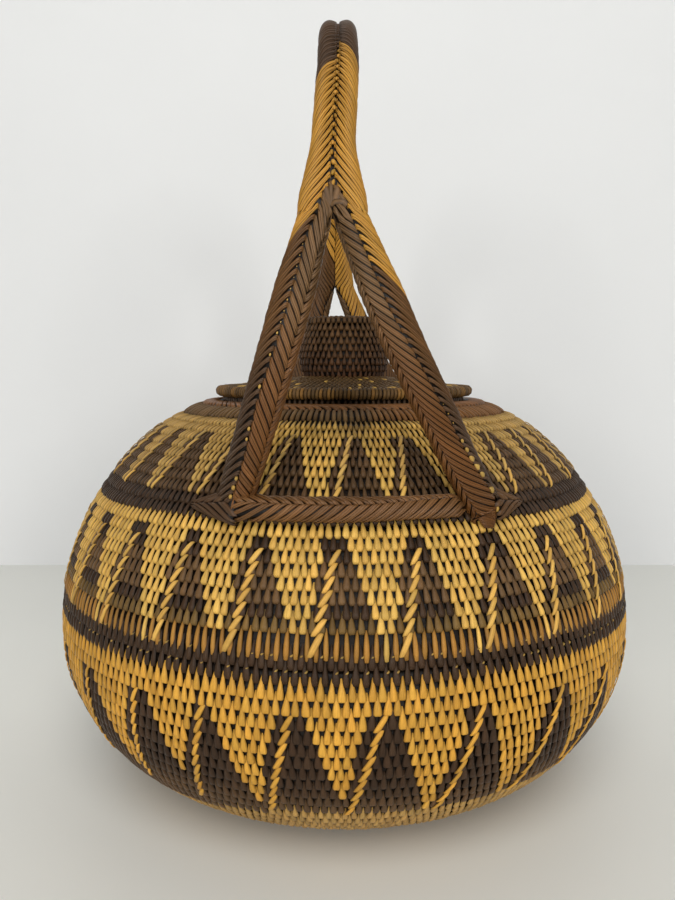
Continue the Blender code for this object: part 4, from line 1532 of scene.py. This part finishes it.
def add_crossbar(end):
    weave = Weave(91 + end)

    def sizes(x):
        swell = 1.0 + 0.22 * (1.0 - smooth_step(-37.0 * MM, -24.0 * MM, x))
        right = smooth_step(36.0 * MM, 41.5 * MM, x)
        left = smooth_step(37.0 * MM, 40.4 * MM, -x)
        rounding = math.sqrt(max(1.0 - max(right, left) * 0.75, 0.1))
        return BAR_TALL * swell * rounding, BAR_DEEP * rounding

    def apex(x):
        return math.radians(mix(86.0, 60.0, smooth_step(5.0 * MM, 34.0 * MM, x)))

    def climb(x, way):
        fan = mix(3.2, 1.1, smooth_step(-37.0 * MM, -16.0 * MM, x)) * smooth_step(-41.0 * MM, -34.0 * MM, x)
        return fan if way > 0 else mix(fan, 1.5, smooth_step(0.0, 20.0 * MM, x))

    bar = Lashing(end, BAR_HEIGHT, sizes)
    out = wall_place(BAR_HEIGHT, 0.0, end)[1]
    add_core(weave, bar.point, even_steps(BAR_LOW, BAR_HIGH, 16), 14, -0.9 * MM, out)
    spans = (BAR_LOW + 1.0 * MM, BAR_HIGH + 16.0 * MM, BAR_LOW, BAR_HIGH)
    wind_lashing(weave, bar.point, spans, apex, 1, climb, BAR_PITCH, mixed(GREY_BROWN_STRIP, WARM_STRIP, 0.6), 3)
    ring = [(BAR_LOW + 1.1 * MM, math.radians(turn), 0.95, 0.1) for turn in range(-30, 201, 15)]
    lay_strip(weave, bar.point, ring, 2.4 * MM, WARM_STRIP, 2)
    weave.finish("bar_strips_" + END_NAMES[end], "basket", "brown_binding", ["crossbar_" + END_NAMES[end]])


def add_ear(end, side):
    where = END_NAMES[end] + "_" + SIDE_NAMES[side]
    weave = Weave(101 + 2 * end + side)
    root = FOOT_X[side] + EAR_ROOT[side]
    tip = FOOT_X[side] + side * EAR_REACH

    def sizes(x):
        share = min(max((x - root) / (tip - root), 0.0), 1.0)
        return tuple(mix(thick, thin, share) for thick, thin in zip(EAR_SIZES[side], EAR_TIP_SIZES))

    ear = Lashing(end, EAR_HEIGHT, sizes)
    add_core(weave, ear.point, even_steps(root, tip, 6), 12, -0.7 * MM, wall_place(EAR_HEIGHT, root, end)[1])
    low, high = min(root, tip), max(root, tip)
    spans = (low, high + 12.0 * MM, low, high) if side == RIGHT else (low - 12.0 * MM, high, low, high)
    wind_lashing(weave, ear.point, spans, lambda x: math.pi / 2, side, lambda x, way: EAR_CLIMB, EAR_PITCH,
                 mixed(DARK_STRIP, BROWN_STRIP, EAR_AGE[side]), 2)
    weave.finish("ear_strips_" + where, "basket", "brown_binding", ["foot_lashing_" + where])


def dress_canes():
    """The bare canes inside the bindings stay as solids, with their own finish."""
    finish = Finish("cane_skin")
    grain = finish.noise(finish.stretched(finish.place(), (900.0, 60.0, 60.0)), 1.0, 3.0)
    finish.look("Base Color", finish.multiply(BARE_CANE, around(0.95, 0.5, grain)))
    finish.look("Roughness", around(0.52, 0.2, grain))
    for name in ("cane_left", "cane_right"):
        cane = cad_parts[name]
        cane.data.materials.clear()
        cane.data.materials.append(finish.material)


# Stage, light and camera

STAGE_SIZE = 8.0
ROOM_WALL_Y = 0.34
LAMP_COLOUR = (1.0, 0.985, 0.955)
LAMP_TARGET = Vector((0.0, 0.0, 0.12))
SIDE_LAMP = (0.62, -1.56, 0.42)
ROOM_COLOUR = (0.86, 0.88, 0.90, 1.0)
ROOM_STRENGTH = 0.30
CAMERA_PLACE = (-0.0030, -0.382, 0.183)
CAMERA_DIP = 6.04


def plain_finish(name, colour, roughness):
    finish = Finish(name)
    mottle = finish.noise(finish.place(), 6.0, 2.0)
    finish.look("Base Color", finish.multiply(colour, around(1.0, 0.05, mottle)))
    finish.look("Roughness", roughness)
    return finish


def add_stage_plane(name, finish, place, tilt):
    clear_choice()
    bpy.ops.mesh.primitive_plane_add(size=STAGE_SIZE, location=place, rotation=(tilt, 0.0, 0.0))
    plane = bpy.context.object
    plane.name = name
    plane.data.materials.append(finish.material)


def add_stage():
    """A table, and a wall behind it that is clear from its back."""
    add_stage_plane("table_top", plain_finish("pale_table", TABLE_PAINT, 0.5), (0.0, 0.0, 0.0), 0.0)
    finish = plain_finish("pale_wall", WALL_PAINT, 0.7)
    clear = finish.node("ShaderNodeBsdfTransparent", {}, {})
    behind = finish.take("ShaderNodeNewGeometry", {}, {}, "Backfacing")
    either = finish.node("ShaderNodeMixShader", {}, {0: behind})
    finish.tree.links.new(finish.shader.outputs[0], either.inputs[1])
    finish.tree.links.new(clear.outputs[0], either.inputs[2])
    finish.tree.links.new(either.outputs[0], finish.tree.nodes["Material Output"].inputs["Surface"])
    add_stage_plane("room_wall", finish, (0.0, ROOM_WALL_Y, 0.0), math.pi / 2)


def add_lamp(name, place, size, power):
    light = bpy.data.lights.new(name, "AREA")
    light.shape = "DISK"
    light.size = size
    light.energy = power
    light.color = LAMP_COLOUR
    lamp = bpy.data.objects.new(name, light)
    lamp.location = place
    lamp.rotation_mode = "QUATERNION"
    lamp.rotation_quaternion = (LAMP_TARGET - Vector(place)).to_track_quat("-Z", "Y")
    bpy.context.collection.objects.link(lamp)


def add_light():
    x, y, z = SIDE_LAMP
    add_lamp("soft_top", (0.0, -1.00, 1.20), 1.0, 8.5)
    add_lamp("soft_left", (-x, y, z), 0.40, 7.6)
    add_lamp("soft_right", (x, y, z), 0.40, 7.6)
    world = bpy.data.worlds.new("room")
    world.use_nodes = True
    world.node_tree.nodes["Background"].inputs["Color"].default_value = ROOM_COLOUR
    world.node_tree.nodes["Background"].inputs["Strength"].default_value = ROOM_STRENGTH
    bpy.context.scene.world = world


def add_camera():
    bpy.ops.object.camera_add(location=CAMERA_PLACE, rotation=(math.radians(90.0 - CAMERA_DIP), 0.0, 0.0))
    camera = bpy.context.object
    camera.data.sensor_width = 36.0
    camera.data.lens = 32.0
    camera.data.clip_start = 0.01
    bpy.context.scene.camera = camera
    bpy.context.scene.view_settings.view_transform = "Standard"


add_base()
add_wall()
add_collar()
add_rim_braid()
add_lid_disc()
add_lid_edge()
add_seat_ring()
add_knob()
add_knob_cap()
add_grip_top()
for end in (NEAR, FAR):
    add_handle_end(end)
    add_crossbar(end)
    for side in (LEFT, RIGHT):
        add_ear(end, side)
dress_canes()
add_stage()
add_light()
add_camera()
